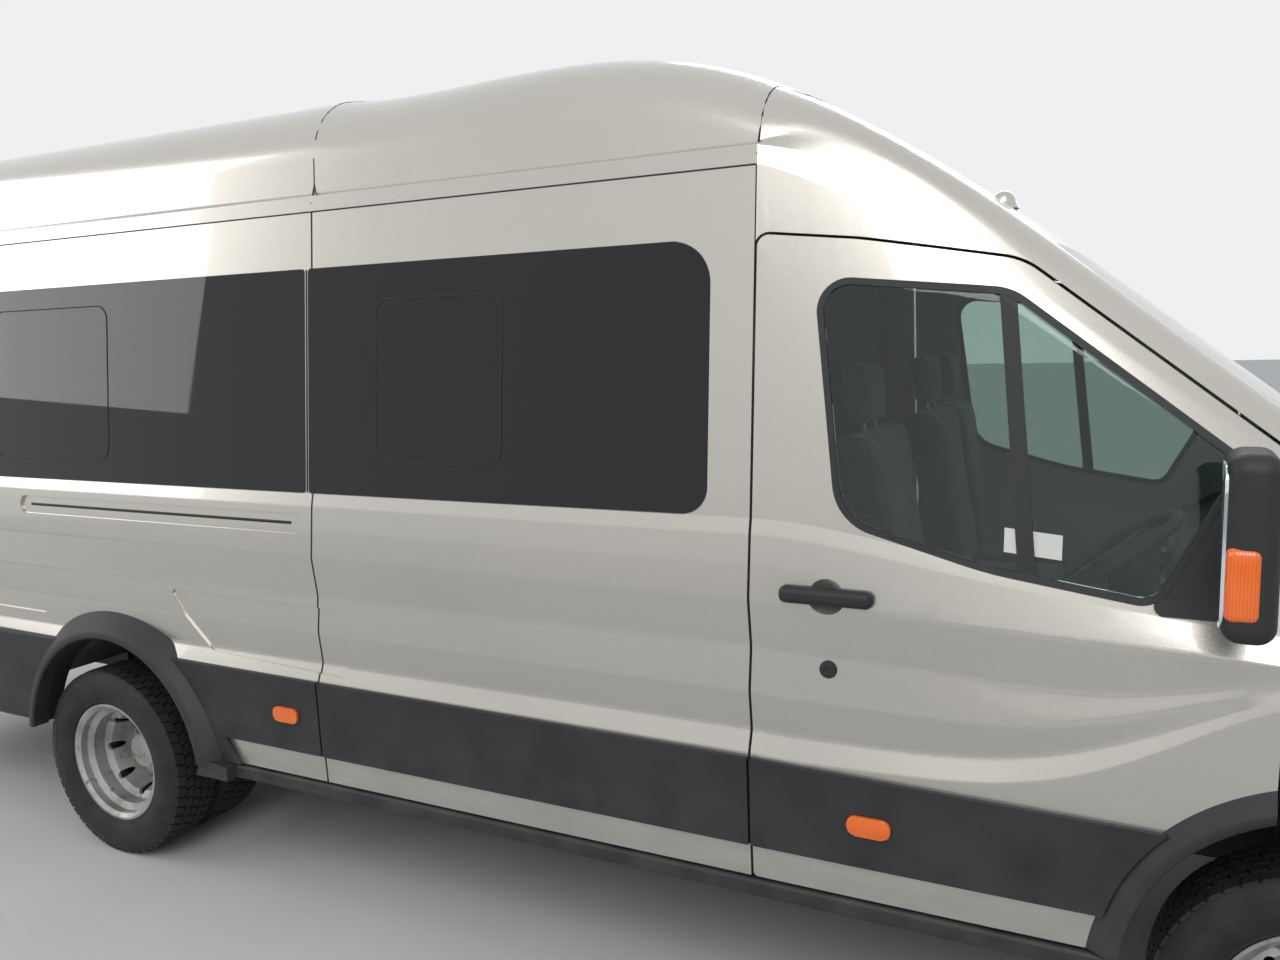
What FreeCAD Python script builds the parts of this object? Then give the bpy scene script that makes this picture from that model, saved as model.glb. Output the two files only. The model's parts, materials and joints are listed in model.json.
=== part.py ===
import FreeCAD, Part
import Sketcher
import math
import os

from FreeCAD import Placement, Rotation, Vector

# High-roof minibus with twin rear wheels, in millimetres. +X is the nose, +Y the left side, +Z up.
# The origin is on the ground, half way along the vehicle. "Forward" values are measured from the front axle.

doc = FreeCAD.newDocument("minibus")
sheet = doc.addObject("Spreadsheet::Sheet", "Sizes")

# Driving dimensions: alias, value, meaning
SIZES = [
    ("overall_length", 6704, "front bumper to rear bumper"),
    ("wheelbase", 3750, "front axle to rear axle"),
    ("front_overhang", 1023, "front axle to the bumper's face"),
    ("bumper_reach", 60, "rear bumper behind the rear body face"),
    ("half_width", 1006, "centre to the side's upper swage"),
    ("body_bottom", 415, "lower edge of the body's section"),
    ("skin_bottom", 455, "lower edge of the painted panels"),
    ("sill_bottom", 400, "lower edge of the black sills"),
    ("flare_bottom", 448, "lower ends of the rear flares"),
    ("rear_ring", 150, "depth of the rear frame"),
    ("bumper_top", 650, "upper edge of the front bumper"),
    ("aerial_height", 2170, "foot of the roof aerial"),
    ("bumper_bottom", 245, "lower edge of the front bumper"),
    ("grille_slats", 6, "openings between the grille's bars"),
    ("rail_half", 400, "centre to a chassis rail"),
    ("axle_tube_radius", 50, "rear axle tube"),
    ("kingpin_half", 775, "centre to a steering axis"),
    ("rear_door_half", 786, "centre to a rear door's outer edge"),
    ("rear_door_bottom", 563, "lower edge of the rear doors"),
    ("rear_door_top", 2440, "upper edge of the rear doors"),
    ("strip_top", 545, "top of the painted strip under the moulding"),
    ("moulding_top", 778, "top of the black side moulding"),
    ("moulding_reach", 14, "moulding stands out from the panel"),
    ("belt_height", 1385, "lower edge of the side glass"),
    ("glass_top", 2075, "upper edge of the side glass"),
    ("gutter_height", 2245, "joint between sides and roof"),
    ("belt_half", 980, "half width at the belt"),
    ("gutter_half", 905, "half width at the roof joint"),
    ("shoulder_half", 870, "half width where the roof's side and top lines meet"),
    ("shoulder_height", 2572, "height where the roof's side and top lines meet"),
    ("shoulder_radius", 220, "roof shoulder"),
    ("crown_height", 2684, "roof at its middle"),
    ("wall", 60, "sides and doors with their lining"),
    ("roof_wall", 40, "roof with its lining"),
    ("glass_thick", 5, "window glass"),
    ("glass_lap", 22, "glass overlaps its frame"),
    ("panel_gap", 7, "gap round doors and bonnet"),
    ("pillar_seam", 1260, "front door's rear edge, behind the front axle"),
    ("side_seam", 2705, "side panel's rear edge, behind the front axle"),
    ("floor_height", 690, "top of the floor"),
    ("floor_thick", 45, "floor"),
    ("cab_floor_height", 620, "top of the cab floor"),
    ("tyre_radius", 349, "tyre, unloaded"),
    ("tyre_width", 195, "tyre section"),
    ("rim_radius", 219, "rim flange"),
    ("rim_half", 76, "half of the rim's width"),
    ("rim_seat", 204, "rim where the tyre's bead sits"),
    ("rim_well", 181, "bottom of the rim's well"),
    ("disc_edge", 132, "edge of the wheel disc's flat face"),
    ("disc_offset", 112, "wheel disc's face from the rim's middle"),
    ("hub_bore", 34, "hole in the wheel disc"),
    ("hub_radius", 72, "wheel hub"),
    ("vent_circle", 150, "centres of the holes in the wheel disc"),
    ("vent_radius", 15, "holes in the wheel disc"),
    ("vent_count", 8, "holes in the wheel disc, number"),
    ("front_track_half", 866, "centre to the front wheel's middle"),
    ("rear_outer_half", 926, "centre to the outer rear wheel's middle"),
    ("dual_spacing", 224, "between the twin wheels' middles"),
    ("arch_radius", 425, "front wheel arch"),
    ("arch_centre", 425, "height of the front arch's centre"),
    ("arch_band", 74, "width of the arch moulding"),
    ("rear_arch_radius", 440, "rear wheel arch"),
    ("rear_arch_centre", 395, "height of the rear arch's centre"),
    ("rear_arch_ahead", 72, "rear arch ahead of its axle"),
    ("rear_arch_band", 92, "width of the rear flare"),
    ("rear_flare_half", 1063, "half width over the rear flares"),
]
for row, (alias, value, note) in enumerate(SIZES, 1):
    sheet.set(f"A{row}", note)
    sheet.set(f"B{row}", str(value))
    sheet.setAlias(f"B{row}", alias)
doc.recompute()


def size(alias):
    return float(getattr(sheet, alias))


LENGTH = size("overall_length")
NOSE_X = LENGTH / 2
FRONT_AXLE = NOSE_X - size("front_overhang")
REAR_AXLE = FRONT_AXLE - size("wheelbase")
REAR_X = -LENGTH / 2 + size("bumper_reach")
PILLAR_X = FRONT_AXLE - size("pillar_seam")
SEAM_X = FRONT_AXLE - size("side_seam")
GAP = size("panel_gap")
WALL = size("wall")
GLASS = size("glass_thick")
BOTTOM = size("body_bottom")
HALF = size("half_width")
BELT = size("belt_height")
GUTTER = size("gutter_height")
WHEEL_Z = size("tyre_radius")
REACH = 1400.0  # past the widest point of the vehicle
RIGHT, LEFT = -1, 1

nodes = []


def keep(obj, label):
    """Marks a document object as a finished piece with its own name."""
    obj.Label = label
    nodes.append(obj)
    return obj


def piece(label, shape):
    """A piece whose shape is worked out by the functions below."""
    obj = doc.addObject("Part::Feature", label)
    obj.Shape = shape
    return keep(obj, label)


def mirrored(shape):
    """The same shape on the other side of the vehicle."""
    return shape.mirror(Vector(0, 0, 0), Vector(0, 1, 0))


def both(shape):
    return Part.makeCompound([shape, mirrored(shape)])


def solid_of(shape):
    """A plain solid, or a compound of the solids, of a boolean's result."""
    solids = [s for s in shape.Solids if s.Volume > 500]
    return solids[0] if len(solids) == 1 else Part.makeCompound(solids)


def biggest(shape):
    return max(shape.Solids, key=lambda s: s.Volume)


def fused(shapes):
    result = shapes[0].fuse(shapes[1:]) if len(shapes) > 1 else shapes[0]
    return solid_of(result.removeSplitter())


def rounded_edges(corners, closed):
    """Edges of a polygon whose corners are (point, radius). An open chain keeps its two ends sharp."""
    count = len(corners)
    runs = []
    for i in range(count):
        point, radius = corners[i]
        if radius <= 0 or (not closed and i in (0, count - 1)):
            runs.append((point, None, point))
            continue
        before = (corners[i - 1][0] - point).normalize()
        after = (corners[(i + 1) % count][0] - point).normalize()
        angle = before.getAngle(after)
        reach = radius / math.tan(angle / 2)
        centre = point + (before + after).normalize() * (radius / math.sin(angle / 2))
        middle = centre + (point - centre).normalize() * radius
        runs.append((point + before * reach, middle, point + after * reach))
    edges = []
    for i in range(count if closed else count - 1):
        start, middle, end = runs[i]
        if middle is not None:
            edges.append(Part.Arc(start, middle, end).toShape())
        following = runs[(i + 1) % count][0]
        if end.distanceToPoint(following) > 0.01:
            edges.append(Part.LineSegment(end, following).toShape())
    return edges


def outline(corners, plane):
    """Closed wire of (a, b, radius) corners in the XZ, YZ or XY plane at zero."""
    place = {
        "XZ": lambda a, b: Vector(a, 0, b),
        "YZ": lambda a, b: Vector(0, a, b),
        "XY": lambda a, b: Vector(a, b, 0),
    }[plane]
    return Part.Wire(rounded_edges([(place(a, b), r) for a, b, r in corners], True))


def prism(corners, plane, low, high):
    """An outline carried from low to high along the axis that its plane lacks."""
    axis = {"XZ": Vector(0, 1, 0), "YZ": Vector(1, 0, 0), "XY": Vector(0, 0, 1)}[plane]
    face = Part.Face(outline(corners, plane))
    face.translate(axis * low)
    return face.extrude(axis * (high - low))


def box(x0, x1, y0, y1, z0, z1):
    return Part.makeBox(x1 - x0, y1 - y0, z1 - z0, Vector(x0, y0, z0))


def disc(radius, centre_x, centre_z, y0, y1):
    """A cylinder across the vehicle."""
    return Part.makeCylinder(radius, y1 - y0, Vector(centre_x, y0, centre_z), Vector(0, 1, 0))


def grown(corners, amount):
    """The same outline, moved outwards by an offset of its wire."""
    face = Part.Face(outline(corners, "XZ"))
    return face.makeOffset2D(amount)


def thick(flat, low, high):
    """A flat XZ face carried from low to high across the vehicle."""
    flat = flat.copy()
    flat.translate(Vector(0, low, 0))
    return flat.extrude(Vector(0, high - low, 0))


# Cab sections. Columns: forward of the front axle, half width, lower crease, lower valley, middle crest,
# upper valley, upper swage, belt half width and height, half width and height on the upper side,
# roof shoulder half width, height and radius, roof or bonnet height at the middle, depth of the roof gutter
CAB = [
    (-1260, 1006, 790, 845, 950, 1060, 1185, 980, 1385, 905, 2245, 843, 2452, 195, 2502, 1.0),
    (-950, 1006, 790, 845, 945, 1050, 1175, 979, 1350, 893, 2090, 824, 2285, 90, 2310, 0.15),
    (-650, 1005, 815, 868, 950, 1040, 1165, 977, 1300, 897, 1870, 815, 2066, 90, 2094, 0.1),
    (-350, 1003, 930, 970, 1015, 1060, 1155, 972, 1262, 903, 1650, 815, 1822, 84, 1856, 0.1),
    (-100, 1000, 1060, 1078, 1096, 1114, 1145, 965, 1235, 905, 1490, 818, 1622, 76, 1658, 0.1),
    (200, 990, 1045, 1063, 1081, 1099, 1125, 950, 1195, 892, 1330, 815, 1388, 70, 1446, 0.1),
    (500, 965, 970, 988, 1006, 1024, 1050, 922, 1110, 870, 1165, 800, 1202, 50, 1278, 0.1),
    (800, 935, 880, 898, 914, 930, 955, 893, 1005, 840, 1055, 780, 1085, 40, 1135, 0.1),
    (1060, 905, 790, 808, 824, 840, 865, 862, 912, 800, 945, 740, 965, 40, 1005, 0.1),
]


def crown_arc(top_y, top_z, crown):
    """Last points of a section: a long arc that reaches the middle level."""
    start = top_y * 0.36
    turn = math.atan2(crown - top_z, top_y - start)
    return [(start, crown, 0.96 * start / math.tan(turn / 2)), (0, crown, 0)]


def side_chain(station):
    """Half of a body section, from the bottom at the middle to the roof at the middle: (half width, height, radius)."""
    (_, half, crease, low_valley, crest, high_valley, swage, belt_y, belt_z,
     side_y, side_z, top_y, top_z, top_r, crown, gutter) = station
    lively = swage - crease > 150
    depth = 1.0 if swage - crease > 300 else 0.6 if lively else 0.15
    soft = (lambda big, small: big if lively else small)
    across, up = top_y - side_y, top_z - side_z
    bulge = math.hypot(across, up)
    if gutter > 0.5:
        channel = [
            (side_y, side_z, 8),
            (side_y - 2, side_z + 48, 6),
            (side_y - 18, side_z + 57, 10),
        ]
    else:
        channel = [
            (side_y, side_z, 30),
            (side_y + across * 0.33 + bulge * 0.03, side_z + up * 0.33 + bulge * 0.01, bulge * 0.8),
            (side_y + across * 0.66 + bulge * 0.03, side_z + up * 0.66 + bulge * 0.01, bulge * 0.8),
        ]
    return [
        (0, BOTTOM, 0),
        (half - 8, BOTTOM, 25),
        (half, 560, 200),
        (half + 6, crease, soft(22, 40)),
        (half + 6 - 20 * depth, low_valley, soft(40, 40)),
        (half - 2, crest, soft(70, 40)),
        (half - 2 - 15 * depth, high_valley, soft(60, 30)),
        (half, swage, soft(50, 10)),
        (belt_y + 9, belt_z - 38, 60),
        (belt_y, belt_z, soft(12, 36)),
        *channel,
        (top_y, top_z, top_r),
        *crown_arc(top_y, top_z, crown),
    ]


def inner_chain(station, inset, roof_inset):
    """The same section's lining, which has no swages."""
    (_, half, _, _, _, _, _, belt_y, belt_z,
     side_y, side_z, top_y, top_z, top_r, crown, _) = station
    return [
        (0, BOTTOM - 10, 0),
        (half - inset, BOTTOM - 10, 20),
        (half - inset, belt_z - 140, 150),
        (belt_y - inset, belt_z, 30),
        (side_y - inset, side_z, 100),
        (top_y - roof_inset, top_z - roof_inset, max(top_r - roof_inset, 12)),
        *crown_arc(top_y - roof_inset, top_z - roof_inset, crown - roof_inset),
    ]


def section_wire(x, chain, side):
    points = [(Vector(x, side * y, z), r) for y, z, r in chain]
    edges = rounded_edges(points, False)
    edges.append(Part.LineSegment(points[-1][0], points[0][0]).toShape())
    return Part.Wire(edges)


def cab_volume(chain_of, start=0):
    """Right half of the cab, lofted through the stations."""
    wires = [section_wire(FRONT_AXLE + s[0], chain_of(s), RIGHT) for s in CAB[start:]]
    return Part.makeLoft(wires, True, False)


def nose_volume(inset):
    """Everything behind the bowed nose: its side outline turned about an upright axis behind the cab."""
    turn_x = PILLAR_X - 20
    reach = NOSE_X - turn_x - inset
    corners = [
        (0, 100, 0),
        (reach - 130, 235, 0),
        (reach - 22, 300, 50),
        (reach, 480, 120),
        (reach - 4, 640, 60),
        (reach - 46, 1010, 60),
        (reach - 95, 1090, 0),
        (reach - 95, 3000, 0),
        (0, 3000, 0),
    ]
    wire = outline(corners, "XZ")
    wire.translate(Vector(turn_x, 0, 0))
    bowed = Part.Face(wire).revolve(Vector(turn_x, 0, 0), Vector(0, 0, 1), -90)
    corner = 330.0
    plan = prism(
        [
            (PILLAR_X - 500, 0, 0),
            (PILLAR_X - 500, -REACH, 0),
            (FRONT_AXLE, -REACH, 0),
            (FRONT_AXLE + 330, -1012 + inset, 600),
            (NOSE_X - 62 - inset, -905 + inset, corner - inset),
            (NOSE_X + 90 - inset, 0, 0),
        ],
        "XY", 0, 3100,
    )
    return bowed.common(plan)


nose = nose_volume(0)
cab_outer = cab_volume(side_chain)
cab_inner = cab_volume(lambda s: inner_chain(s, WALL, size("roof_wall")))


def moved(shape, x=0.0, y=0.0, z=0.0):
    shape = shape.copy()
    shape.translate(Vector(x, y, z))
    return shape


def fx(forward):
    """A place given forward of the front axle."""
    return FRONT_AXLE + forward


def windows_up(corners):
    """Corners given forward of the front axle, in the row's own frame."""
    return [(fx(a), b, r) for a, b, r in corners]


def side_layer(volume, corners, outer, inner, grow=0.0):
    """The skin inside a right-hand side outline, between two depths measured across the vehicle."""
    block = volume.common(side_prism(corners, grow))
    core = volume.common(side_prism(corners, grow + 3))
    return moved(block, y=outer).cut(moved(core, y=inner))


def side_prism(corners, grow=0.0):
    """A right-hand side outline carried from the middle outwards."""
    face = grown(corners, grow) if grow else Part.Face(outline(corners, "XZ"))
    return thick(face, -REACH, -450)


def arch_disc(forward, height, radius, inner=560.0):
    """The round opening of a right-hand wheel arch."""
    return disc(radius, fx(forward), height, -REACH, -inner)


# Arch centres forward of the front axle
ARCH_AHEAD = 25.0
REAR_ARCH_AHEAD = -size("wheelbase") + size("rear_arch_ahead")
front_arch = arch_disc(ARCH_AHEAD, size("arch_centre"), size("arch_radius"))
rear_arch = arch_disc(REAR_ARCH_AHEAD, size("rear_arch_centre"), size("rear_arch_radius"))

# Load body behind the front doors: one section carried back, closed by a slightly leaning rear
CREST = size("crown_height")
SKIN_BOTTOM = size("skin_bottom")


def with_roof(forward, top_half, top_height, top_radius, crown):
    """The front door's rear section with another roof."""
    return (forward, *CAB[0][1:11], top_half, top_height, top_radius, crown, 1.0)


LOAD = with_roof(0, size("shoulder_half"), size("shoulder_height"), size("shoulder_radius"), CREST)


def carried(chain, x0, x1):
    face = Part.Face(section_wire(x0, chain, RIGHT))
    return face.extrude(Vector(x1 - x0, 0, 0))


def tail_trimmed(shape, inset):
    """A shape kept ahead of the rear face and inside its rounded corners, taken in by an inset."""
    back = REAR_X + inset
    half = HALF + 7 - inset
    lean = prism(
        [
            (back, 0, 0),
            (back, 1250, 2500),
            (back + 70, CREST + 8 - inset, 85),
            (PILLAR_X + 100, CREST + 8 - inset, 0),
            (PILLAR_X + 100, 0, 0),
        ],
        "XZ", -REACH, REACH,
    )
    plan = prism(
        [(back, -half, 95), (back, half, 95), (PILLAR_X + 100, half, 0), (PILLAR_X + 100, -half, 0)],
        "XY", 0, 3000,
    )
    return shape.common(lean).common(plan)


load_outer = tail_trimmed(carried(side_chain(LOAD), REAR_X - 50, PILLAR_X), 0)
load_inner = tail_trimmed(carried(inner_chain(LOAD, WALL, size("roof_wall")), REAR_X - 50, PILLAR_X), WALL)
load_shell = load_outer.cut(load_inner)
RING = size("rear_ring")
RING_X = REAR_X + RING

# Roof between the two seams falls towards the cab. Columns: forward of the front axle, shoulder half width,
# height and radius, crown
MIDDLE_ROOF = [
    (-size("side_seam"), size("shoulder_half"), size("shoulder_height"), size("shoulder_radius"), CREST),
    (-2050, size("shoulder_half"), size("shoulder_height") - 2, size("shoulder_radius"), CREST - 2),
    (-1660, 863, 2560, 216, CREST - 31),
    (-size("pillar_seam"), *CAB[0][11:15]),
]


def middle_roof(chain_of):
    wires = [section_wire(fx(row[0]), chain_of(with_roof(*row)), RIGHT) for row in MIDDLE_ROOF]
    return Part.makeLoft(wires, True, False)


middle_shell = middle_roof(side_chain).cut(middle_roof(lambda s: inner_chain(s, WALL, size("roof_wall"))))


def above_gutter(shape, x0, x1):
    half_roof = shape.common(box(x0, x1, -REACH, 0, GUTTER, 3000))
    return fused([half_roof, mirrored(half_roof)])


piece("roof_rear", above_gutter(load_shell, RING_X, SEAM_X))
piece("roof_middle", above_gutter(middle_shell, SEAM_X, PILLAR_X))

# Side glass, flush with the skin. Columns: rear end, front end (forward of the axle), rear and front corner radius
TOP_Z = size("glass_top")
SIDE_PANES = [
    (-2722, -1378, 12, 110),
    (-4326, -2734, 12, 12),
    (-5505, -4338, 110, 12),
]


def pane(row):
    rear, front, rear_r, front_r = row
    return windows_up([
        (rear, BELT, min(rear_r, 70)),
        (front, BELT, min(front_r, 70)),
        (front, TOP_Z, front_r),
        (rear, TOP_Z, rear_r),
    ])


panes = [side_layer(load_outer, pane(row), 0, GLASS, -1.5) for row in SIDE_PANES]
seats = [side_layer(load_outer, pane(row), -1, GLASS + 0.3) for row in SIDE_PANES]
holes = [side_prism(pane(row), -size("glass_lap")) for row in SIDE_PANES]
side_body = load_shell.common(box(RING_X, PILLAR_X, -REACH, 0, SKIN_BOTTOM, GUTTER))
# Guide rail pressed in behind the door
rail = side_layer(load_outer, windows_up([
    (-4155, 1258, 30), (-2760, 1258, 8), (-2760, 1322, 8), (-4155, 1322, 30)]), -1, 9)
# Shallow pressings ahead of and behind the rear wheel
pressings = [side_layer(load_outer, windows_up(corners), -1, 6) for corners in (
    [(-3382, 1030, 12), (-3196, 834, 50), (-2600, 812, 0), (-2600, 1024, 0)],
    [(-5380, 1064, 40), (-3864, 1056, 12), (-3892, 1010, 20), (-4066, 880, 50), (-5380, 892, 40)])]
side_body = side_body.cut([rear_arch, rail, *seats, *holes, *pressings])
wall_right = biggest(side_body.common(box(RING_X, SEAM_X - GAP / 2, -REACH, 0, 0, 3000)))
panel_right = biggest(side_body.common(box(SEAM_X + GAP / 2, PILLAR_X - GAP / 2, -REACH, 0, 0, 3000)))
piece("side_wall_right", wall_right)
piece("side_wall_left", mirrored(wall_right))
piece("side_panel_right", panel_right)
piece("sliding_door_left", mirrored(panel_right))
piece("side_glass", both(Part.makeCompound(panes)))

# Rear frame, doors and lamps. The door outline is half of the opening: (half width, height, radius)
DOOR_HALF = size("rear_door_half")
DOOR_BOTTOM = size("rear_door_bottom")
DOOR_TOP = size("rear_door_top")
rear_half = [
    (-GAP / 2, DOOR_BOTTOM, 0),
    (-DOOR_HALF, DOOR_BOTTOM, 45),
    (-DOOR_HALF, BELT, 900),
    (-DOOR_HALF + 55, DOOR_TOP, 110),
    (-GAP / 2, DOOR_TOP, 0),
]
opening_half = [
    (100, DOOR_BOTTOM - GAP, 0),
    (-DOOR_HALF - GAP, DOOR_BOTTOM - GAP, 50),
    (-DOOR_HALF - GAP, BELT, 900),
    (-DOOR_HALF + 55 - GAP, DOOR_TOP + GAP, 116),
    (100, DOOR_TOP + GAP, 0),
]
lamp_outline = [(-1100, 830, 0), (-852, 830, 40), (-852, 1350, 40), (-1100, 1350, 0)]
rear_shell = load_shell.common(box(REAR_X - 10, RING_X, -REACH, 0, SKIN_BOTTOM, 3000)).cut(seats[-1])
lamp_zone = prism(lamp_outline, "YZ", REAR_X - 10, REAR_X + 78)
lamp = biggest(rear_shell.common(lamp_zone))
HINGE_X, HINGE_Y = REAR_X - 14, -800.0
HINGE_HEIGHTS = [690.0, 1420.0, 2120.0]


def rear_face(height):
    """Where the leaning rear face stands at a height."""
    return REAR_X + max(height - 1250, 0) * 70 / (CREST + 8 - 1250)


def hinge_leaf(height, low, high, near, far):
    """A knuckle on the hinge pin with its leaf, which reaches into what it is bolted to."""
    barrel = Part.makeCylinder(11, high - low, Vector(HINGE_X, HINGE_Y, low), Vector(0, 0, 1))
    plate = box(HINGE_X - 4, HINGE_X + 7, min(HINGE_Y, far), max(HINGE_Y, far), low, high)
    foot = box(HINGE_X - 4, rear_face(height) + 9, min(near, far), max(near, far), low, high)
    return barrel.fuse([plate, foot])


frame_leaves = []
door_leaves = []
for height in HINGE_HEIGHTS:
    door_leaves.append(hinge_leaf(height, height - 20, height + 20, -745.0, -703.0))
    frame_leaves.append(hinge_leaf(height, height + 20.3, height + 50, -808.0, -846.0))
    frame_leaves.append(hinge_leaf(height, height - 50, height - 20.3, -808.0, -846.0))
frame_half = rear_shell.cut([prism(opening_half, "YZ", REAR_X - 100, RING_X + 10), lamp_zone])
frame_half = biggest(frame_half.fuse(frame_leaves))
piece("rear_frame", fused([frame_half, mirrored(frame_half)]))
piece("tail_lamps", both(lamp))
rear_pane = [
    (-150, BELT + 25, 50),
    (-DOOR_HALF + 95, BELT + 25, 50),
    (-DOOR_HALF + 125, TOP_Z + 20, 60),
    (-150, TOP_Z + 20, 50),
]


def rear_prism(corners, grow=0.0):
    face = Part.Face(outline(corners, "YZ"))
    if grow:
        face = face.makeOffset2D(grow)
    face = moved(face, x=REAR_X - 100)
    return face.extrude(Vector(260, 0, 0))


rear_skin = load_outer.cut(moved(load_outer, x=GLASS))
rear_seat = moved(load_outer, x=-1).cut(moved(load_outer, x=GLASS + 0.3))
rear_door = biggest(load_shell.common(rear_prism(rear_half)))
rear_door = biggest(rear_door.cut([
    rear_seat.common(rear_prism(rear_pane)), rear_prism(rear_pane, -size("glass_lap"))]).fuse(door_leaves))
rear_glass = rear_skin.common(rear_prism(rear_pane, -1.5))
rear_glass = biggest(rear_glass.common(box(REAR_X - 10, REAR_X + 120, -REACH, 0, 0, 3000)))
piece("rear_door_right", rear_door)
piece("rear_door_left", mirrored(rear_door))
piece("rear_door_glass_right", rear_glass)
piece("rear_door_glass_left", mirrored(rear_glass))

# Cab: shell between the outer and inner lofts, ended by the bowed nose
cab_skin = cab_outer.common(nose)
cab_shell = cab_skin.cut(cab_inner.common(nose_volume(55)))
door_outline = windows_up([
    (-size("pillar_seam") + GAP / 2, SKIN_BOTTOM, 12),
    (-size("pillar_seam") + GAP / 2, 2078, 28),
    (-1010, 2050, 700),
    (-650, 1985, 160),
    (-128, 1568, 40),
    (-118, 1180, 300),
    (-128, SKIN_BOTTOM, 0),
])
window_outline = windows_up([
    (-1116, 1972, 75),
    (-668, 1924, 130),
    (-192, 1546, 40),
    (-350, 1236, 65),
    (-700, 1289, 900),
    (-1046, 1385, 130),
])
door_zone = side_prism(door_outline)
door_cut = side_prism(door_outline, GAP)
# Windscreen and bonnet outlines from above: forward of the axle, half width, corner radius
screen_outline = windows_up([
    (-600, -742, 70), (-548, 0, 3000), (-600, 742, 70), (262, 806, 60), (388, 0, 1800), (262, -806, 60)])
bonnet_outline = windows_up([
    (350, -700, 40), (462, 0, 1800), (350, 700, 40), (905, 640, 90), (962, 0, 1500), (905, -640, 90)])


def plan_zone(corners, low, grow=0.0):
    face = Part.Face(outline(corners, "XY"))
    if grow:
        face = face.makeOffset2D(grow)
    face = moved(face, z=low)
    return face.extrude(Vector(0, 0, 3000 - low))


def plan_layer(corners, shift, grow):
    """The skin of the right half inside an outline seen from above, down to a shift of the same skin."""
    block = cab_skin.common(plan_zone(corners, 1150, grow))
    core = cab_skin.common(plan_zone(corners, 1100, grow + 40))
    return block.cut(moved(core, x=shift[0], z=shift[1]))


def screen_shift(depth):
    """Move along the windscreen's slope normal."""
    return (-0.64 * depth, -0.77 * depth)


def whole(half):
    """A right half joined to its mirror image across the middle."""
    return fused([half, mirrored(half)])


LAP = size("glass_lap")
piece("windscreen", whole(biggest(plan_layer(screen_outline, screen_shift(GLASS), -1.5))))
screen_seat = plan_layer(screen_outline, screen_shift(GLASS + 0.3), 0)
upper_shell = cab_shell.cut([screen_seat, plan_zone(screen_outline, 1150, -LAP)])

# Roof of the cab with the strips above the doors, joined across the windscreen pillars
roof_zone = prism(windows_up([
    (-1300, 1900, 0), (-556, 1880, 0), (-470, 1965, 0), (-380, 2400, 0), (-380, 3000, 0), (-1300, 3000, 0)]),
    "XZ", -REACH, REACH)
AERIAL_X = fx(-770)
AERIAL_Z = size("aerial_height")
aerial = Part.makeCone(42, 30, 24, Vector(AERIAL_X, -300, AERIAL_Z - 12)).fuse(
    Part.makeSphere(32, Vector(AERIAL_X, -300, AERIAL_Z + 6)))
roof_half = biggest(upper_shell.common(roof_zone).cut(door_cut))
piece("cab_roof", fused([whole(roof_half), aerial]))
WING_LINE = windows_up([
    (-size("pillar_seam"), 1300, 0), (-118, 1300, 0), (-60, 1470, 0), (240, 1330, 0), (450, 1330, 0),
    (450, 2600, 0), (-size("pillar_seam"), 2600, 0)])
frame_zone = prism(WING_LINE, "XZ", -REACH, REACH)
cowl_zone = plan_zone(windows_up([
    (200, -790, 0), (330, -790, 0), (352, -700, 0), (470, 0, 1500), (352, 700, 0), (330, 790, 0), (200, 790, 0)]), 1000)
frame_half = upper_shell.common(frame_zone).cut([
    roof_zone, door_cut, cowl_zone, box(fx(-700), fx(600), -690, 0, 1000, 3000)])
piece("cab_frame", both(solid_of(frame_half)))

# Front doors with their windows
handle_dish = Part.makeSphere(64, Vector(fx(-1062), -HALF - 42, 1211))
front_door = biggest(cab_shell.common(door_zone).cut([front_arch, side_prism(window_outline), handle_dish]))
rubber = biggest(side_layer(cab_skin, window_outline, -2, 16, -0.3).cut(side_prism(window_outline, -16)))
divider = side_layer(cab_skin, windows_up([
    (-694, 1925, 0), (-658, 1918, 0), (-592, 1266, 0), (-630, 1272, 0)]), -1, 4.2)
divider = divider.common(side_prism(window_outline, -0.3))
door_glass = biggest(side_layer(cab_skin, window_outline, 4.3, 4.3 + GLASS, -16.3))

# Side mouldings stand out from the skin between the arches
MOULD_TOP = size("moulding_top")
STRIP = size("strip_top")
OUT = size("moulding_reach")
SILL_LOW = size("sill_bottom")


def arch_trim(forward, height, radius, band, outer_half):
    """Turned lip round a right-hand arch, from inside the skin out to its own half width."""
    x = fx(forward)
    top = height + radius
    corners = [
        (Vector(x, -(HALF - 70), top), 0),
        (Vector(x, -outer_half, top), 8),
        (Vector(x, -outer_half, top + band * 0.3), (outer_half - HALF) * 0.8),
        (Vector(x, -(HALF - 10), top + band), 0),
        (Vector(x, -(HALF - 70), top + band), 0),
    ]
    face = Part.Face(Part.Wire(rounded_edges(corners, True)))
    return face.revolve(Vector(x, 0, height), Vector(0, 1, 0), 360)


front_lip = arch_trim(ARCH_AHEAD, size("arch_centre"), size("arch_radius"), size("arch_band"), HALF + 26)
rear_lip = arch_trim(REAR_ARCH_AHEAD, size("rear_arch_centre"), size("rear_arch_radius"), size("rear_arch_band"),
                     size("rear_flare_half"))
front_keep = arch_disc(ARCH_AHEAD, size("arch_centre"), size("arch_radius") + size("arch_band") * 0.7, 900)
rear_keep = arch_disc(REAR_ARCH_AHEAD, size("rear_arch_centre"), size("rear_arch_radius") + size("rear_arch_band") * 0.6, 900)
SIDE_END = -size("pillar_seam") - GAP / 2
door_band = side_layer(cab_skin, windows_up([
    (-size("pillar_seam") + GAP / 2, STRIP, 0), (-300, STRIP, 0), (-300, MOULD_TOP - 20, 0),
    (-size("pillar_seam") + GAP / 2, MOULD_TOP, 0)]), -OUT, 0).cut(front_keep)
door_block = cab_outer.common(box(fx(-1300), fx(-60), -REACH, -600, 300, 1200))
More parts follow.
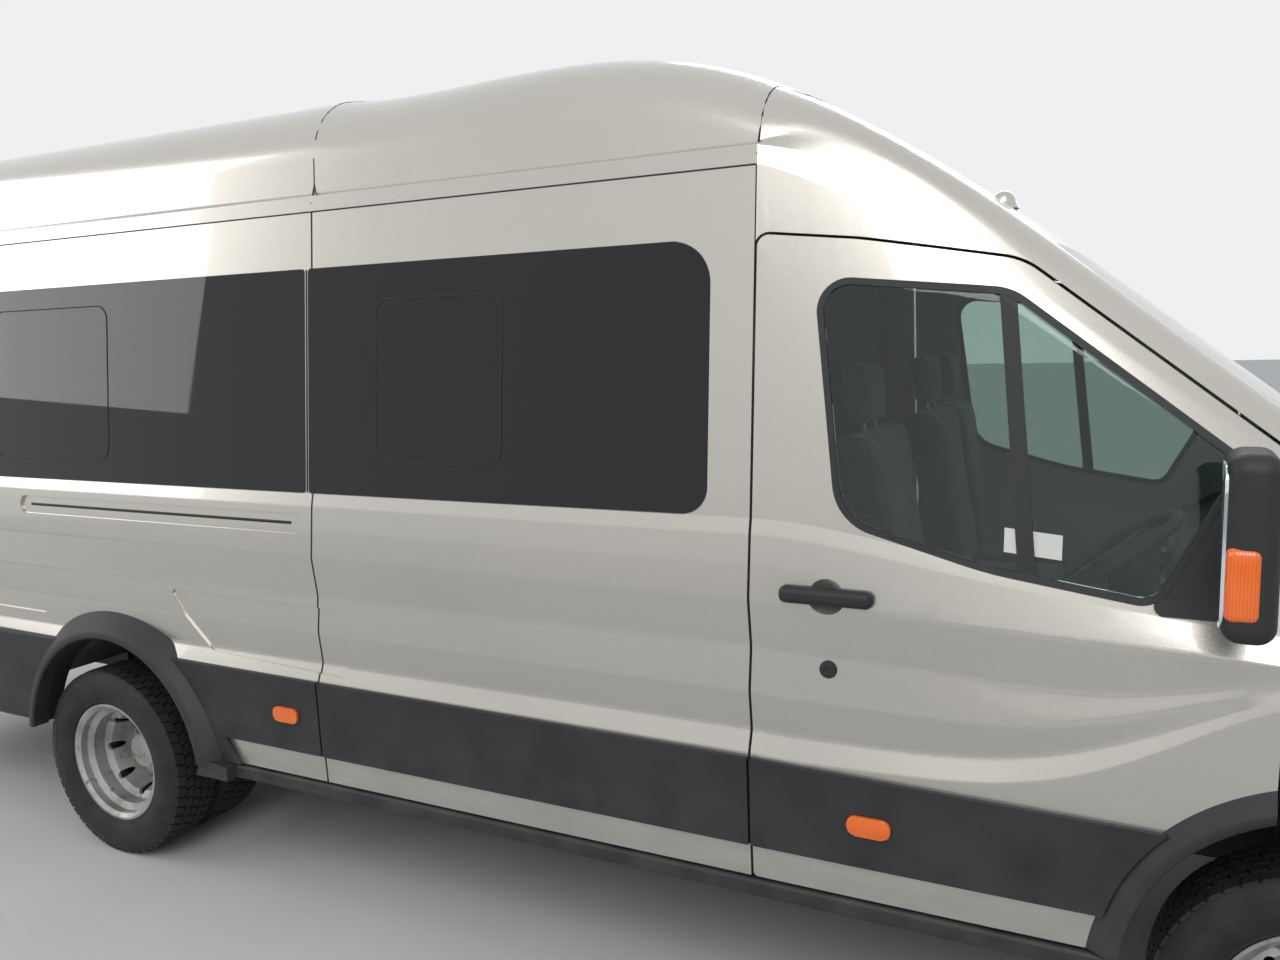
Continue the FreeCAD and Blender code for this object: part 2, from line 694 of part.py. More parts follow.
door_lip = biggest(biggest(front_lip.common(door_zone)).cut(door_block))
handle = Part.makeBox(229, 40, 42, Vector(fx(-1176), -HALF - 27, 1189))
handle = handle.makeFillet(17, handle.Edges)
handle = handle.cut(side_layer(cab_skin, windows_up([
    (-1200, 1120, 0), (-920, 1120, 0), (-920, 1290, 0), (-1200, 1290, 0)]), 0, 100))
MIRROR_X = fx(-200)
arms = [Part.makeBox(52, 200, 30, Vector(MIRROR_X - 26, -1150, z)) for z in (1330, 1490)]
mirror_box = Part.makeBox(92, 190, 350, Vector(MIRROR_X - 50, -1262, 1248))
mirror_box = mirror_box.makeFillet(34, mirror_box.Edges)
mirror_cut = cab_skin.common(box(fx(-300), fx(-100), -REACH, -600, 1250, 1600))
mirror = biggest(mirror_box.fuse(arms).cut(mirror_cut))
mirror_base = side_layer(cab_skin, windows_up([
    (-372, 1226, 20), (-176, 1222, 30), (-160, 1545, 30), (-200, 1556, 0)]), -9, 0).cut(side_prism(window_outline, -0.3))
window_frame = rubber.fuse([divider, biggest(mirror_base), mirror])
door_trim = Part.makeCompound([window_frame, door_band.fuse(door_lip), biggest(handle)])
for side, name in ((1, "right"), (-1, "left")):
    flip = (lambda shape: shape) if side > 0 else mirrored
    piece(f"front_door_{name}", flip(front_door))
    piece(f"door_glass_{name}", flip(door_glass))
    piece(f"door_trim_{name}", flip(solid_of(door_trim)))

# Nose pieces: wings with the middle panel, bonnet, grille, lamps, bumper
bonnet_zone = plan_zone(bonnet_outline, 900)
nose_shell = cab_shell.cut([screen_seat, plan_zone(screen_outline, 1150, -LAP)])
piece("bonnet", whole(biggest(cab_shell.common(bonnet_zone))))
lamp_front = [(-468, 742, 30), (-905, 790, 60), (-1000, 1032, 60), (-880, 1056, 40), (-560, 900, 90)]
grille_half = [(30, 690, 0), (-415, 690, 40), (-440, 905, 45), (30, 905, 0)]


def front_prism(corners, grow=0.0):
    face = Part.Face(outline(corners, "YZ"))
    if grow:
        face = face.makeOffset2D(grow)
    return moved(face, x=fx(560)).extrude(Vector(700, 0, 0))


BUMPER_TOP = size("bumper_top")
lamp_zone_front = front_prism(lamp_front)
wing_zone = prism(windows_up([
    (-118, BUMPER_TOP + 0.6, 0), (1200, BUMPER_TOP + 0.6, 0), (1200, 1330, 0), (240, 1330, 0), (-60, 1470, 0),
    (-118 + 2, 1300, 0)]), "XZ", -REACH, REACH)
wing_half = nose_shell.common(wing_zone).cut([
    plan_zone(bonnet_outline, 900, GAP), lamp_zone_front, front_arch, front_prism(grille_half), door_cut,
    cowl_zone.common(box(fx(150), fx(500), -REACH, 0, 1150, 2000))])
piece("front_wings", whole(solid_of(wing_half)))
headlamp = biggest(nose_shell.common(lamp_zone_front).cut(plan_zone(bonnet_outline, 900, GAP)))
piece("headlamps", both(headlamp))

panel_zone = front_prism(grille_half)
grille_block = nose_shell.common(panel_zone).common(box(fx(700), fx(1100), -REACH, 0, 600, 1000))
slat_count = int(size("grille_slats"))
slat_step = (905 - 690) / slat_count
slats = [box(fx(560), fx(1100), -430, 0, 690 + slat_step * (i + 0.55), 690 + slat_step * (i + 1)) for i in range(slat_count - 1)]
frame_ring = panel_zone.cut(front_prism([(30, 704, 0), (-403, 704, 30), (-424, 891, 34), (30, 891, 0)]))
grille_face = grille_block.cut(moved(grille_block, x=-26))
grille = whole(biggest(fused([grille_face.common(c) for c in [frame_ring, *slats, box(fx(560), fx(1100), -14, 0, 690, 905)]])))
piece("grille", grille)

# Front bumper: the bowed nose below the wings, hollow behind, with an intake and two lamp recesses
BUMPER_LOW = size("bumper_bottom")
bumper_block = nose.common(box(fx(330), NOSE_X + 10, -REACH, 0, BUMPER_LOW, BUMPER_TOP))
bumper_core = nose_volume(45).common(box(fx(300), NOSE_X + 10, -REACH, 0, 0, BUMPER_TOP + 1))
intake = front_prism([(30, 330, 0), (-470, 330, 40), (-440, 455, 40), (30, 455, 0)])
fog = Part.makeCylinder(52, 400, Vector(fx(700), -700, 420), Vector(1, 0, 0))
bumper_half = bumper_block.cut([bumper_core, intake, fog, front_arch])
bar = bumper_block.cut(moved(bumper_block, x=-20)).common(box(fx(600), NOSE_X + 10, -480, 0, 384, 402))
piece("front_bumper", whole(fused([biggest(bumper_half), biggest(bar)])))

# Cowl below the windscreen with its two wipers
cowl_half = cab_shell.common(cowl_zone).cut([
    plan_zone(bonnet_outline, 900, GAP), plan_zone(screen_outline, 1150, -LAP), screen_seat])
piece("cowl", whole(biggest(cowl_half)))

# Side mouldings of the load body with the rear flare, and the sills below the doors
LOAD_REAR = REAR_X - FRONT_AXLE + 14
side_band = side_layer(load_outer, windows_up([
    (LOAD_REAR + 80, SKIN_BOTTOM, 0), (SIDE_END, SKIN_BOTTOM, 0), (SIDE_END, MOULD_TOP, 0), (-3300, MOULD_TOP + 15, 0),
    (LOAD_REAR + 80, MOULD_TOP + 35, 0)]), -OUT, 0)
strip_cut = side_prism(windows_up([
    (-3050, SKIN_BOTTOM - 50, 0), (SIDE_END + 200, SKIN_BOTTOM - 50, 0), (SIDE_END + 200, STRIP, 0), (-3135, STRIP, 0)]))
side_band = side_band.cut([rear_keep, strip_cut, side_prism(windows_up([
    (-2705 - GAP / 2, 300, 0), (-2705 + GAP / 2, 300, 0), (-2705 + GAP / 2, 900, 0), (-2705 - GAP / 2, 900, 0)]))])
flare = rear_lip.cut(load_outer).common(box(fx(-4500), fx(-2900), -REACH, 0, size("flare_bottom"), 1200))
sill_front = ARCH_AHEAD - math.sqrt(size("arch_radius") ** 2 - (SKIN_BOTTOM - size("arch_centre")) ** 2)
sill_rear = REAR_ARCH_AHEAD + size("rear_arch_radius") + size("rear_arch_band") * 0.7
sill = prism([(-HALF - 2, SILL_LOW, 12), (-HALF - 2, SKIN_BOTTOM - GAP, 12), (-880, SKIN_BOTTOM - GAP, 0),
              (-880, SILL_LOW, 30)], "YZ", fx(sill_rear), fx(sill_front - 6))
wing_block = cab_outer.common(box(fx(-130), fx(520), -REACH, -600, 300, 1100))
wing_lip = front_lip.cut([wing_block, door_zone]).common(box(fx(-118), fx(505), -REACH, 0, BUMPER_LOW, 1200))
wing_lip = wing_lip.cut(bumper_block)
flare_foot = prism(windows_up([
    (-3260, SILL_LOW + 2, 0), (sill_rear + 60, SILL_LOW + 2, 0), (sill_rear + 60, SKIN_BOTTOM - GAP, 0),
    (-3236, SKIN_BOTTOM + 10, 0)]), "XZ", -HALF - 40, -HALF + 30)
flare_foot = flare_foot.cut(load_outer.common(box(fx(-3300), fx(-3000), -REACH, 0, SKIN_BOTTOM - 0.3, 500)))
lower_trim = fused([biggest(flare), flare_foot, sill, *[s for s in side_band.Solids if s.Volume > 1000]])
mouldings = Part.makeCompound([*lower_trim.Solids, biggest(wing_lip)])
piece("side_mouldings", both(mouldings))
# Amber side lamps on the mouldings of the load body
LAMP_AHEAD, LAMP_Z = -2843, 667
lamp_corners = windows_up([
    (LAMP_AHEAD - 52, LAMP_Z - 25, 22), (LAMP_AHEAD + 52, LAMP_Z - 25, 22),
    (LAMP_AHEAD + 52, LAMP_Z + 25, 22), (LAMP_AHEAD - 52, LAMP_Z + 25, 22)])
piece("side_lamps", both(side_layer(load_outer, lamp_corners, -OUT - 8, -OUT)))

# Rear bumper with a step
rear_bumper = prism([(REAR_X + 150, -1008, 0), (REAR_X - 60, -985, 60), (REAR_X - 60, 985, 60), (REAR_X + 150, 1008, 0)],
                    "XY", 330, DOOR_BOTTOM - 18)
rear_bumper = rear_bumper.cut([box(REAR_X - 5, REAR_X + 160, -950, 950, 300, SKIN_BOTTOM - 2),
                               box(REAR_X - 0.3, REAR_X + 160, -REACH, REACH, SKIN_BOTTOM - 2, 3000)])
piece("rear_bumper", biggest(rear_bumper))

# Floor, raised over the rear wheels, with the lower cab floor and its sloping toe board
FLOOR = size("floor_height")
DECK = size("floor_thick")
CAB_FLOOR = size("cab_floor_height")
inner_half = HALF - WALL - 0.3
HOUSING = size("rear_arch_radius") + 8
house_out = arch_disc(REAR_ARCH_AHEAD, size("rear_arch_centre"), HOUSING, 548)
house_in = arch_disc(REAR_ARCH_AHEAD, size("rear_arch_centre"), HOUSING - 6, 554)
deck = box(REAR_X + WALL + 6, PILLAR_X - 6, -inner_half, 0, FLOOR - DECK, FLOOR).common(moved(load_inner, x=3, y=0.3))
housing = house_out.common(box(-REACH * 3, REACH * 3, -inner_half, 0, FLOOR - DECK, 1200))
deck = deck.fuse(housing).cut(house_in)
toe = prism(windows_up([
    (-size("pillar_seam") - 6, CAB_FLOOR - DECK, 0), (-430, CAB_FLOOR - DECK, 0), (-80, 1010, 60), (60, 1010, 0), (60, 1050, 0),
    (-100, 1050, 60), (-450, CAB_FLOOR, 60), (-size("pillar_seam") + 30, CAB_FLOOR, 0),
    (-size("pillar_seam") + 30, FLOOR, 0), (-size("pillar_seam") - 6, FLOOR, 0)]), "XZ", -930, 0)
toe = toe.cut(arch_disc(ARCH_AHEAD, size("arch_centre"), size("arch_radius") + 26, 545))
piece("floor", whole(biggest(fused([biggest(deck), biggest(toe)]))))

# Wheel arch liners at the front
liner_radius = size("arch_radius") + 20
liner = arch_disc(ARCH_AHEAD, size("arch_centre"), liner_radius + 5, 560).cut(
    arch_disc(ARCH_AHEAD, size("arch_centre"), liner_radius, 500))
liner = liner.common(box(-REACH * 3, REACH * 3, -HALF + WALL + 40, 0, 470, 1200))
piece("arch_liners", both(biggest(liner)))

# Chassis frame: two rails, cross members that carry the floor, bumper brackets
RAIL_Y = size("rail_half")
RAIL_TOP = CAB_FLOOR - DECK
rail_beam = box(REAR_X + 90, fx(880), -RAIL_Y - 32, -RAIL_Y + 32, RAIL_TOP - 120, RAIL_TOP)
members = [REAR_X + 100, fx(-4550), fx(-3050), fx(-2400), fx(-1800), PILLAR_X - 110]
cross = [box(x, x + 60, -inner_half + 20, 0, RAIL_TOP, FLOOR - DECK) for x in members]
low_cross = [box(x, x + 60, -RAIL_Y, 0, RAIL_TOP - 100, RAIL_TOP) for x in (*members, fx(820))]
tail_bracket = box(REAR_X + WALL + 0.3, REAR_X + 120, -RAIL_Y - 32, -RAIL_Y + 32, RAIL_TOP - 120, DOOR_BOTTOM - 24)
tow_holes = [disc(6.5, REAR_X + x, RAIL_TOP - 60, -RAIL_Y - 40, -RAIL_Y + 40) for x in (200, 280)]
nose_bracket = box(fx(870), NOSE_X - 52, -RAIL_Y - 32, -RAIL_Y + 32, RAIL_TOP - 110, RAIL_TOP - 10)
rail_beam = rail_beam.fuse([tail_bracket, nose_bracket]).cut([*tow_holes, nose_volume(0).cut(nose_volume(45.3))])
piece("chassis_frame", whole(fused([rail_beam, *cross, *low_cross])))

# Pillars behind the side glass: places forward of the front axle
PILLARS = [-size("pillar_seam") - 52, -size("side_seam") - 4, -3670, -4332]
pillar_outer = inner_chain(LOAD, WALL, size("roof_wall"))
pillar_inner = inner_chain(LOAD, WALL + 45, size("roof_wall") + 45)
posts = []
for place in PILLARS:
    post = carried(pillar_outer, fx(place) - 42, fx(place) + 42).cut(carried(pillar_inner, fx(place) - 50, fx(place) + 50))
    post = post.common(box(-REACH * 3, REACH * 3, -REACH, -500, FLOOR, GUTTER))
    posts.append(biggest(post.cut(arch_disc(REAR_ARCH_AHEAD, size("rear_arch_centre"), HOUSING + 0.3, 500))))
piece("pillars", both(Part.makeCompound(posts)))

# Dashboard and seats
dash = prism(windows_up([
    (-330, 900, 40), (-340, 1130, 60), (-180, 1235, 60), (60, 1270, 60), (200, 1230, 0), (60, 900, 0)]), "XZ", -880, 0)
dash = dash.common(moved(cab_inner, y=45, x=-30, z=-30)).cut(prism(windows_up([
    (-466, 600, 0), (-100, 1050.3, 0), (300, 1050.3, 0), (300, 600, 0)]), "XZ", -REACH, 10))
piece("dashboard", whole(biggest(dash)))
SEAT_W = 440


def seat(x, y, z, width):
    """Cushion and back of one seat facing forward."""
    cushion = prism([(x - 230, z, 30), (x + 215, z, 40), (x + 235, z + 115, 50), (x - 230, z + 100, 30)],
                    "XZ", y - width / 2, y + width / 2)
    back = prism([(x - 225, z + 101.5, 30), (x - 120, z + 103, 30), (x - 215, z + 690, 40), (x - 310, z + 690, 40)],
                 "XZ", y - width / 2 + 5, y + width / 2 - 5)
    rest = prism([(x - 240, z + 690.3, 15), (x - 300, z + 690.3, 15), (x - 320, z + 860, 30), (x - 255, z + 860, 30)],
                 "XZ", y - 125, y + 125)
    return [cushion, back, rest]


# Passenger rows: forward of the front axle, seats across (centre of each)
SIDE_Y, MIDDLE_Y = 630, 190
ROWS = [(-1900, (-SIDE_Y, -MIDDLE_Y, SIDE_Y)), (-2660, (-SIDE_Y, -MIDDLE_Y, SIDE_Y)),
        (-3420, (-SIDE_Y, -MIDDLE_Y, SIDE_Y)), (-4180, (-SIDE_Y, -MIDDLE_Y, SIDE_Y)),
        (-5000, (-SIDE_Y, -MIDDLE_Y - 5, MIDDLE_Y + 45, SIDE_Y + 5))]
SEAT_BASE = FLOOR + 290
CAB_SEAT_BASE = CAB_FLOOR + 275
CAB_SEATS = [(-820, -500, 480), (-820, 330, 400), (-820, 700, 320)]
soft = []
frames = []
for x, places in ROWS:
    for y in places:
        soft += seat(fx(x), y, SEAT_BASE, SEAT_W - 20)
        frames.append(box(fx(x) - 180, fx(x) + 160, y - 215, y + 215, SEAT_BASE - 40, SEAT_BASE - 0.3))
    for y in (-480, -60, 460):
        frames += [box(fx(x) + at, fx(x) + at + 40, y - 20, y + 20, FLOOR, SEAT_BASE - 20) for at in (-170, 100)]
frames = [*fused(frames).Solids]
for x, y, wide in CAB_SEATS:
    soft += seat(fx(x), y, CAB_SEAT_BASE, wide)
    frames.append(box(fx(x) - 190, fx(x) + 190, y - 140, y + 140, CAB_FLOOR, CAB_SEAT_BASE - 0.3))
piece("seat_cushions", Part.makeCompound(soft))
piece("seat_frames", Part.makeCompound(frames))

# Running gear
ENGINE = doc.addObject("Part::Box", "engine_block")
ENGINE.Length, ENGINE.Width, ENGINE.Height = 700, 520, 520
ENGINE.Placement = Placement(Vector(fx(70), -260, 430), Rotation())
radiator = doc.addObject("Part::Box", "radiator")
radiator.Length, radiator.Width, radiator.Height = 40, 700, 330
radiator.Placement = Placement(Vector(fx(838), -350, RAIL_TOP + 0.3), Rotation())
engine = doc.addObject("Part::Compound", "engine")
engine.Links = [ENGINE, radiator]
keep(engine, "engine")

AXLE_R = size("axle_tube_radius")
OUTER_Y = size("rear_outer_half")
INNER_Y = OUTER_Y - size("dual_spacing")
TYRE_W = size("tyre_width")
axle_tube = disc(AXLE_R, REAR_AXLE, WHEEL_Z, -INNER_Y + TYRE_W / 2 + 20, INNER_Y - TYRE_W / 2 - 20)
hub_seat = disc(AXLE_R - 12, REAR_AXLE, WHEEL_Z, -729.7, 729.7)
diff = Part.makeSphere(150, Vector(REAR_AXLE, 0, WHEEL_Z)).common(
    box(REAR_AXLE - 200, REAR_AXLE + 200, -130, 130, WHEEL_Z - 150, WHEEL_Z + 150))
gearbox = Part.makeCone(190, 110, 620, Vector(fx(69), 0, 440), Vector(-1, 0, 0)).common(
    box(fx(-600), fx(69), -190, 190, 200, RAIL_TOP - 6))
BEARING = -2370
shaft_z, bearing_z = 430.0, 412.0
run = -540 - BEARING
shaft_a = Part.makeCylinder(38, run, Vector(fx(-540), 0, shaft_z), Vector(-run, 0, bearing_z - shaft_z))
reach_x = fx(BEARING) - REAR_AXLE
shaft_b = Part.makeCylinder(38, reach_x - 80, Vector(fx(BEARING), 0, bearing_z), Vector(-reach_x, 0, WHEEL_Z - bearing_z))
carrier = Part.makeCylinder(56, 50, Vector(fx(BEARING) - 25, 0, bearing_z), Vector(1, 0, 0)).fuse(
    box(fx(BEARING) - 25, fx(BEARING) + 25, -40, 40, bearing_z, RAIL_TOP - 100.3))
piece("driveline", fused([axle_tube, hub_seat, diff, gearbox, shaft_a, shaft_b, carrier]))

# Leaf springs: an arc of leaves under each side, shackled to the rails
SPRING_Y = RAIL_Y + 62
spring_r = 2600.0


def leaf_spring():
    sag = spring_r - math.sqrt(spring_r ** 2 - 640 ** 2)
    low_z = WHEEL_Z - AXLE_R - 34
    centre = Vector(REAR_AXLE, 0, low_z + spring_r)
    ring = Part.makeCylinder(spring_r + 14, 60, Vector(REAR_AXLE, -SPRING_Y - 30, centre.z), Vector(0, 1, 0)).cut(
        Part.makeCylinder(spring_r - 14, 60, Vector(REAR_AXLE, -SPRING_Y - 30, centre.z), Vector(0, 1, 0)))
    leaf = ring.common(box(REAR_AXLE - 640, REAR_AXLE + 640, -REACH, 0, low_z - 40, low_z + sag + 30))
    eye_z = low_z + sag
    parts = [biggest(leaf)]
    for x in (REAR_AXLE - 640, REAR_AXLE + 640):
        parts.append(disc(28, x, eye_z, -SPRING_Y - 30, -RAIL_Y - 32.3))
        parts.append(box(x - 24, x + 24, -RAIL_Y - 62, -RAIL_Y - 32.3, eye_z - 20, RAIL_TOP - 20))
    parts.append(box(REAR_AXLE - 60, REAR_AXLE + 60, -SPRING_Y - 40, -SPRING_Y + 40, low_z - 20, WHEEL_Z - AXLE_R - 0.3))
    return fused(parts)


piece("leaf_springs", both(leaf_spring()))
tank = Part.makeBox(900, 380, 260, Vector(fx(-2650), 470, 300))
tank = tank.makeFillet(45, tank.Edges)
straps = [box(fx(x), fx(x) + 40, RAIL_Y + 32, 520, RAIL_TOP - 60, RAIL_TOP - 20) for x in (-2500, -1950)]
piece("fuel_tank", fused([tank, *straps]))
PIPE_Y, PIPE_Z, SILENCER_Y, SILENCER_Z = -230.0, 418.0, -600.0, 396.0
silencer = Part.makeCylinder(90, 620, Vector(fx(-2500), SILENCER_Y, SILENCER_Z), Vector(1, 0, 0))
front_pipe = Part.makeCylinder(26, 1930, Vector(fx(69.7), PIPE_Y, PIPE_Z), Vector(-1, 0, 0))
cross_pipe = Part.makeCylinder(23, 372, Vector(fx(-1858), PIPE_Y, PIPE_Z), Vector(0, SILENCER_Y - PIPE_Y, SILENCER_Z - PIPE_Z))
link_pipe = Part.makeCylinder(26, 60, Vector(fx(-1835), SILENCER_Y, SILENCER_Z), Vector(-1, 0, 0))
tail_pipe = Part.makeCylinder(26, 360, Vector(fx(-2480), SILENCER_Y, SILENCER_Z), Vector(-1, 0, 0))
hangers = []
for x in (-2400, -2000):
    hangers.append(box(fx(x), fx(x) + 24, SILENCER_Y - 12, -RAIL_Y - 32.3, RAIL_TOP - 60, RAIL_TOP - 36))
    hangers.append(box(fx(x), fx(x) + 24, SILENCER_Y - 12, SILENCER_Y + 12, SILENCER_Z + 60, RAIL_TOP - 40))
bends = [Part.makeSphere(27, Vector(fx(-1858), PIPE_Y, PIPE_Z)), Part.makeSphere(27, Vector(fx(-1858), SILENCER_Y, SILENCER_Z))]
piece("exhaust", fused([silencer, front_pipe, cross_pipe, link_pipe, tail_pipe, *bends, *hangers]))

# Front suspension: cross member, arms and dampers; knuckles turn on the arms' ball joints
PIVOT_Y = size("kingpin_half")
arm_low, arm_high = WHEEL_Z - 128, WHEEL_Z + 122
cross_beam = box(FRONT_AXLE - 110, FRONT_AXLE + 110, -RAIL_Y - 20, RAIL_Y + 20, 190, 246)
risers = box(FRONT_AXLE - 90, FRONT_AXLE + 90, -RAIL_Y - 20, -RAIL_Y + 20, 240, RAIL_TOP - 120.3)


def wishbone(z, inner_y):
    plate = prism([(FRONT_AXLE - 130, -inner_y, 0), (FRONT_AXLE - 28, -PIVOT_Y, 27), (FRONT_AXLE + 28, -PIVOT_Y, 27),
                   (FRONT_AXLE + 130, -inner_y, 0), (FRONT_AXLE + 60, -inner_y, 0), (FRONT_AXLE, -inner_y - 130, 20),
                   (FRONT_AXLE - 60, -inner_y, 0)], "XY", z - 14, z + 14)
    return plate


TOWER_TOP = size("arch_centre") + liner_radius - 11
DAMPER_Y = 590.0
damper = Part.makeCylinder(42, TOWER_TOP - arm_low, Vector(FRONT_AXLE, -DAMPER_Y, arm_low), Vector(0, 0, 1))
tower = box(FRONT_AXLE - 70, FRONT_AXLE + 70, -DAMPER_Y - 70, -RAIL_Y - 32.3, TOWER_TOP - 24, TOWER_TOP).fuse(
    box(FRONT_AXLE - 70, FRONT_AXLE + 70, -RAIL_Y - 64, -RAIL_Y - 32.3, arm_high - 20, TOWER_TOP))
half_suspension = fused([risers, wishbone(arm_low, RAIL_Y), wishbone(arm_high, RAIL_Y + 50), damper, tower])
piece("front_suspension", fused([cross_beam, half_suspension, mirrored(half_suspension)]))
WHEEL_Y = size("front_track_half")
upright = box(FRONT_AXLE - 38, FRONT_AXLE + 38, -PIVOT_Y - 34, -PIVOT_Y + 20, arm_low + 26, arm_high - 26)
kingpin = Part.makeCylinder(16, arm_high - arm_low - 28.6, Vector(FRONT_AXLE, -PIVOT_Y, arm_low + 14.3))
stub = disc(34, FRONT_AXLE, WHEEL_Z, -WHEEL_Y - 60, -PIVOT_Y)
knuckle = fused([upright.makeFillet(12, upright.Edges), kingpin, stub])
piece("knuckle_right", knuckle)
piece("knuckle_left", mirrored(knuckle))

# Wheels. Points of the rim's section are (radius, reach towards the disc's side) as sheet expressions
RIM_POINTS = [
    ("rim_radius", "-rim_half - 2"), ("rim_radius", "-rim_half + 4"), ("rim_seat", "-rim_half + 10"),
    ("rim_seat", "-rim_half / 2"), ("rim_well", "-26"), ("rim_well", "20"), ("rim_seat", "rim_half / 2"),
    ("rim_seat", "rim_half - 10"), ("rim_radius", "rim_half - 4"), ("rim_radius", "rim_half + 2"),
    ("rim_radius - 8", "rim_half + 2"), ("rim_seat - 7", "rim_half - 8"), ("rim_seat - 7", "rim_half / 2 + 4"),
    ("rim_well - 6", "26"), ("disc_edge + 26", "32"), ("disc_edge", "disc_offset"), ("hub_bore", "disc_offset"),
    ("hub_bore", "disc_offset - 8"), ("disc_edge - 6", "disc_offset - 8"), ("disc_edge + 18", "26"),
    ("rim_well - 6", "14"), ("rim_well - 6", "-30"), ("rim_seat - 7", "-rim_half / 2 - 4"),
    ("rim_seat - 7", "-rim_half + 8"), ("rim_radius - 8", "-rim_half - 2"),
]
ALIASES = sorted((alias for alias, _, _ in SIZES), key=len, reverse=True)


def bound(text):
    """A sheet expression in millimetres from plain alias names."""
    words = text.split(" ")
    swapped = []
    for word in words:
        bare = word.lstrip("-")
        swapped.append(word.replace(bare, f"Sizes.{bare}") if bare in ALIASES else word)
    return " ".join(swapped)


def base_plane(body, role):
    return next(f for f in body.Origin.OriginFeatures if f.Role == role)


def new_sketch(body, name, role):
    sketch = body.newObject("Sketcher::SketchObject", name)
    sketch.AttachmentSupport = (base_plane(body, role), "")
    sketch.MapMode = "FlatFace"
    return sketch


def rim_body(name, place, side):
    """A pressed steel rim turned about the axle, with round holes in its disc."""
    body = doc.addObject("PartDesign::Body", name)
    sketch = new_sketch(body, f"{name}_section", "XY_Plane")
    exprs = [(bound(r), f"{side} * ({bound(u)})") for r, u in RIM_POINTS]
    places = [Vector(sheet.evalExpression(a), sheet.evalExpression(b), 0) for a, b in exprs]
    count = len(places)
    for i in range(count):
        sketch.addGeometry(Part.LineSegment(places[i], places[(i + 1) % count]), False)
    for i in range(count):
        sketch.addConstraint(Sketcher.Constraint("Coincident", i, 2, (i + 1) % count, 1))
    for i, (a, b) in enumerate(exprs):
        for kind, value, text in (("DistanceX", places[i].x, a), ("DistanceY", places[i].y, b)):
            index = sketch.addConstraint(Sketcher.Constraint(kind, -1, 1, i, 1, value))
            sketch.setExpression(f"Constraints[{index}]", f"({text}) * 1 mm")
    turned = body.newObject("PartDesign::Revolution", f"{name}_turned")
    turned.Profile = sketch
    turned.ReferenceAxis = (sketch, ["V_Axis"])
    turned.Angle = 360
    doc.recompute()
    vent = new_sketch(body, f"{name}_vent", "XZ_Plane")
    vent.addGeometry(Part.Circle(Vector(150, 0, 0), Vector(0, 0, 1), 15), False)
    at = vent.addConstraint(Sketcher.Constraint("DistanceX", -1, 1, 0, 3, 150.0))
    vent.setExpression(f"Constraints[{at}]", "Sizes.vent_circle * 1 mm")
    vent.addConstraint(Sketcher.Constraint("PointOnObject", 0, 3, -1))
    wide = vent.addConstraint(Sketcher.Constraint("Radius", 0, 15.0))
    vent.setExpression(f"Constraints[{wide}]", "Sizes.vent_radius * 1 mm")
    pocket = body.newObject("PartDesign::Pocket", f"{name}_vent_cut")
    pocket.Profile = vent
    pocket.Type = 1
    pocket.Midplane = True
    pattern = body.newObject("PartDesign::PolarPattern", f"{name}_vents")
    pattern.Originals = [pocket]
    pattern.Axis = (vent, ["N_Axis"])
    pattern.Angle = 360
    pattern.setExpression("Occurrences", "Sizes.vent_count")
    body.Tip = pattern
    body.Placement = Placement(place, Rotation())
    return body


def turned_disc(name, radius, x, y0, y1):
    """A named cylinder across the vehicle at wheel height."""
    item = doc.addObject("Part::Cylinder", name)
    item.setExpression("Radius", radius)
    item.Height = abs(y1 - y0)
    item.Placement = Placement(Vector(x, min(y0, y1), WHEEL_Z), Rotation(Vector(1, 0, 0), -90))
    return item


def tyre(x, y):
    """A tyre's section turned about its axle."""
    radius, half = size("tyre_radius"), TYRE_W / 2
    seat_r, flange = size("rim_seat") + 0.4, size("rim_radius")
    rim = size("rim_half")
    corners = [
        (seat_r, -rim + 10.6, 0), (flange + 0.4, -rim + 4.6, 0), (flange + 4, -half + 14, 0),
        (radius - 75, -half, 60), (radius - 3, -half + 18, 22), (radius, 0, 0), (radius - 3, half - 18, 22),
        (radius - 75, half, 60), (flange + 4, half - 14, 0), (flange + 0.4, rim - 4.6, 0), (seat_r, rim - 10.6, 0),
    ]
    wire = Part.Wire(rounded_edges([(Vector(r, u, 0), bend) for r, u, bend in corners], True))
    ring = Part.Face(wire).revolve(Vector(0, 0, 0), Vector(0, 1, 0), 360)
    return moved(ring, x, y, WHEEL_Z)


